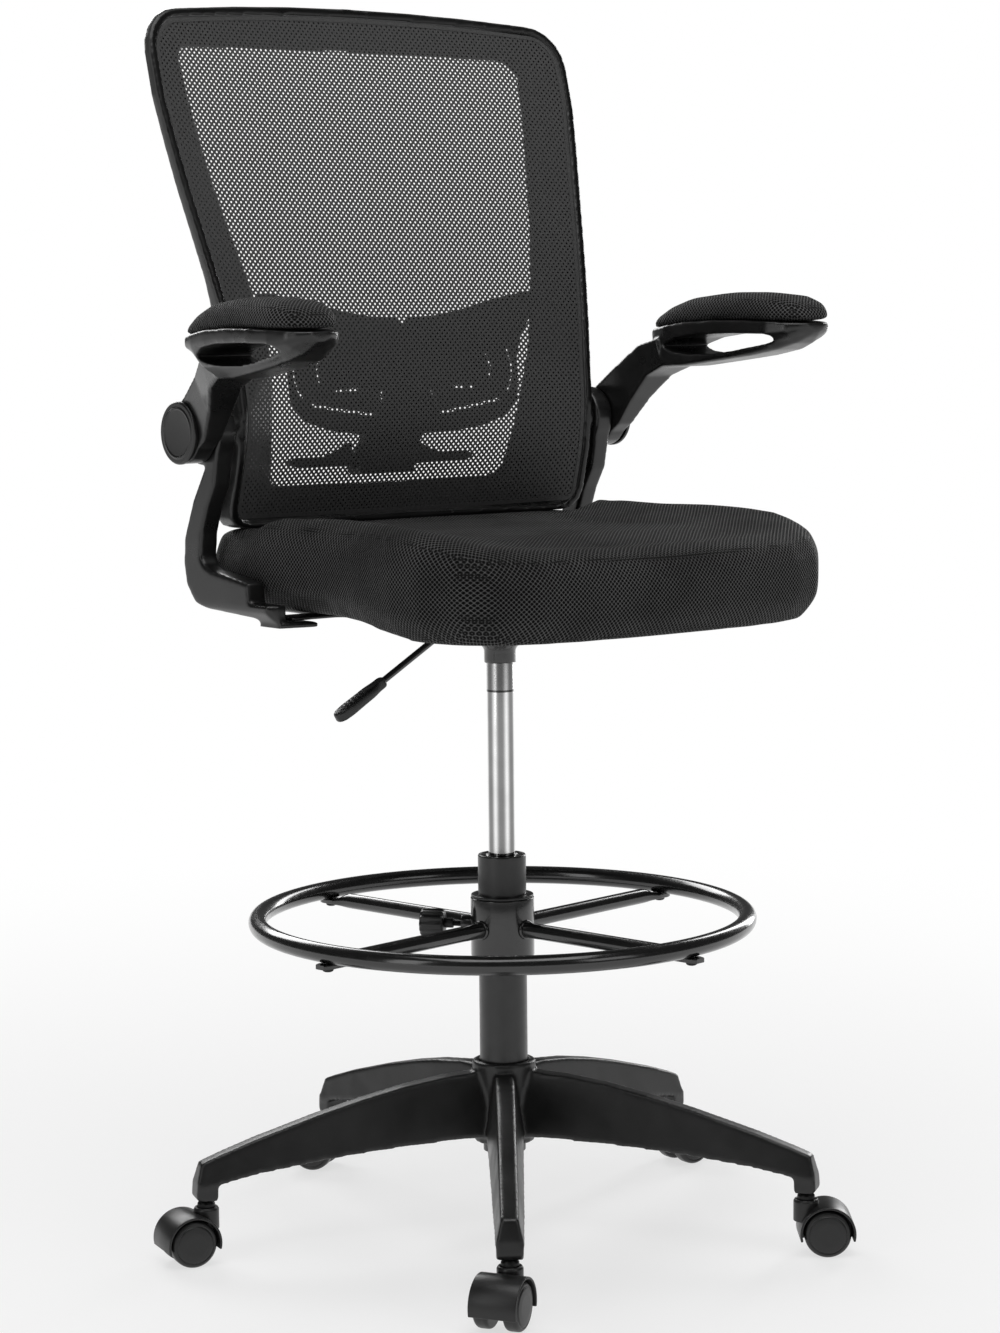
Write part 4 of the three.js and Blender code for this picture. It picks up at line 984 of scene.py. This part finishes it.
WHEEL_R, TRAIL, HOOD_R = 24.5, 20.5, 28.6
CASTER_CIRCLE, FIRST_LEG_TURN, LEG_STEP = 321.5, -37.5, 72
AXLE = WHEEL_R * math.cos(math.pi / 16)
CASTER_TURNS = [-60, 52, 89, 214, -103]


def wheel_mesh(sign):
    profile = [(0, 24.2), (12, 24.2), (17.6, 23.7), (18.6, 23.2), (19.2, 22.5), (19.9, 22.5), (20.5, 22.9),
               (22.2, 22.3), (23.7, 20.6), (AXLE, 18.6), (AXLE, 11), (23.4, 9), (21.5, 8.2), (4.15, 8.2),
               (4.15, 19.8), (0, 19.8)]
    shape = Shape().lathe(rounded(profile, 0.9, steps=3), 72,
                          Matrix.Translation((0, -TRAIL, AXLE)) @ Matrix.Rotation(sign * math.pi / 2, 4, "Y"))
    return shape.mesh("caster_wheel", Matrix.Identity(4))


def hood_mesh():
    """Arched cover over both wheels, the web between them, and the neck that takes the stem."""
    shape = Shape()

    def arch(radius):
        angles = [a * DEG for a in range(-12, 193, 6)]
        return [(-TRAIL + radius * math.cos(a), AXLE + radius * math.sin(a)) for a in angles]

    outer, inner = arch(HOOD_R), arch(HOOD_R - 2.5)
    shape.plate([(outer[0][0], 17)] + outer + [(outer[-1][0], 17), (inner[-1][0], 17)] + inner[::-1]
                + [(inner[0][0], 17)], -24.5, 24.5)
    shape.plate([(inner[0][0], 17)] + inner + [(inner[-1][0], 17)], -7.8, 7.8)
    work = bevelled(shape, "hood_work", 1.3, 50, Matrix.Identity(4))
    neck_profile = [(5.9, 34), (13, 34), (13, 54.2), (11.6, 56.5), (9.4, 56.5), (9.4, 52.7), (5.9, 52.7),
                    (5.9, 34)]
    neck = Shape().lathe(rounded(neck_profile, 0.6), 48).mesh("neck_work", Matrix.Identity(4))
    join = bmesh.new()
    join.from_mesh(work)
    join.from_mesh(neck)
    mesh = bpy.data.meshes.new("caster_cover")
    join.to_mesh(mesh)
    join.free()
    return mesh


stem_profile = rounded([(0, 41), (5.5, 41), (5.5, 53), (9, 53), (9, 60), (7.4, 62.7), (5.5, 62.7), (5.5, 93),
                        (0, 93)], 0.5)
stem_mesh = Shape().lathe(stem_profile, 40).mesh("caster_stem_look", Matrix.Identity(4))
covers = hood_mesh()
wheels = {"left": wheel_mesh(1), "right": wheel_mesh(-1)}
for i, trail in enumerate(CASTER_TURNS):
    number = i + 1
    leg = math.radians(FIRST_LEG_TURN + LEG_STEP * i)
    across = COLUMN_X + CASTER_CIRCLE * math.sin(leg)
    along = COLUMN_Y - CASTER_CIRCLE * math.cos(leg)
    spot = Matrix.Translation((across / 1000, along / 1000, 0)) @ turned_about(trail)
    body = f"caster_{number}"
    shown(f"caster_cover_{number}", covers, WHEEL, body, [f"caster_hood_{number}"], 40, spot)
    shown(f"caster_pin_{number}", stem_mesh, DARK_STEEL, body, [f"caster_stem_{number}"], 40,
          spot)
    for side in ("left", "right"):
        shown(f"caster_wheel_{number}_{side}", wheels[side], WHEEL, f"wheel_{number}_{side}",
              [f"wheel_{number}_{side}"], 40, spot)

for node in ["piston_rod", "thrust_bearing", "valve_button"] + [f"caster_axle_{i}" for i in range(1, 6)]:
    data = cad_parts[node].data
    data.materials.clear()
    data.materials.append(STEEL)
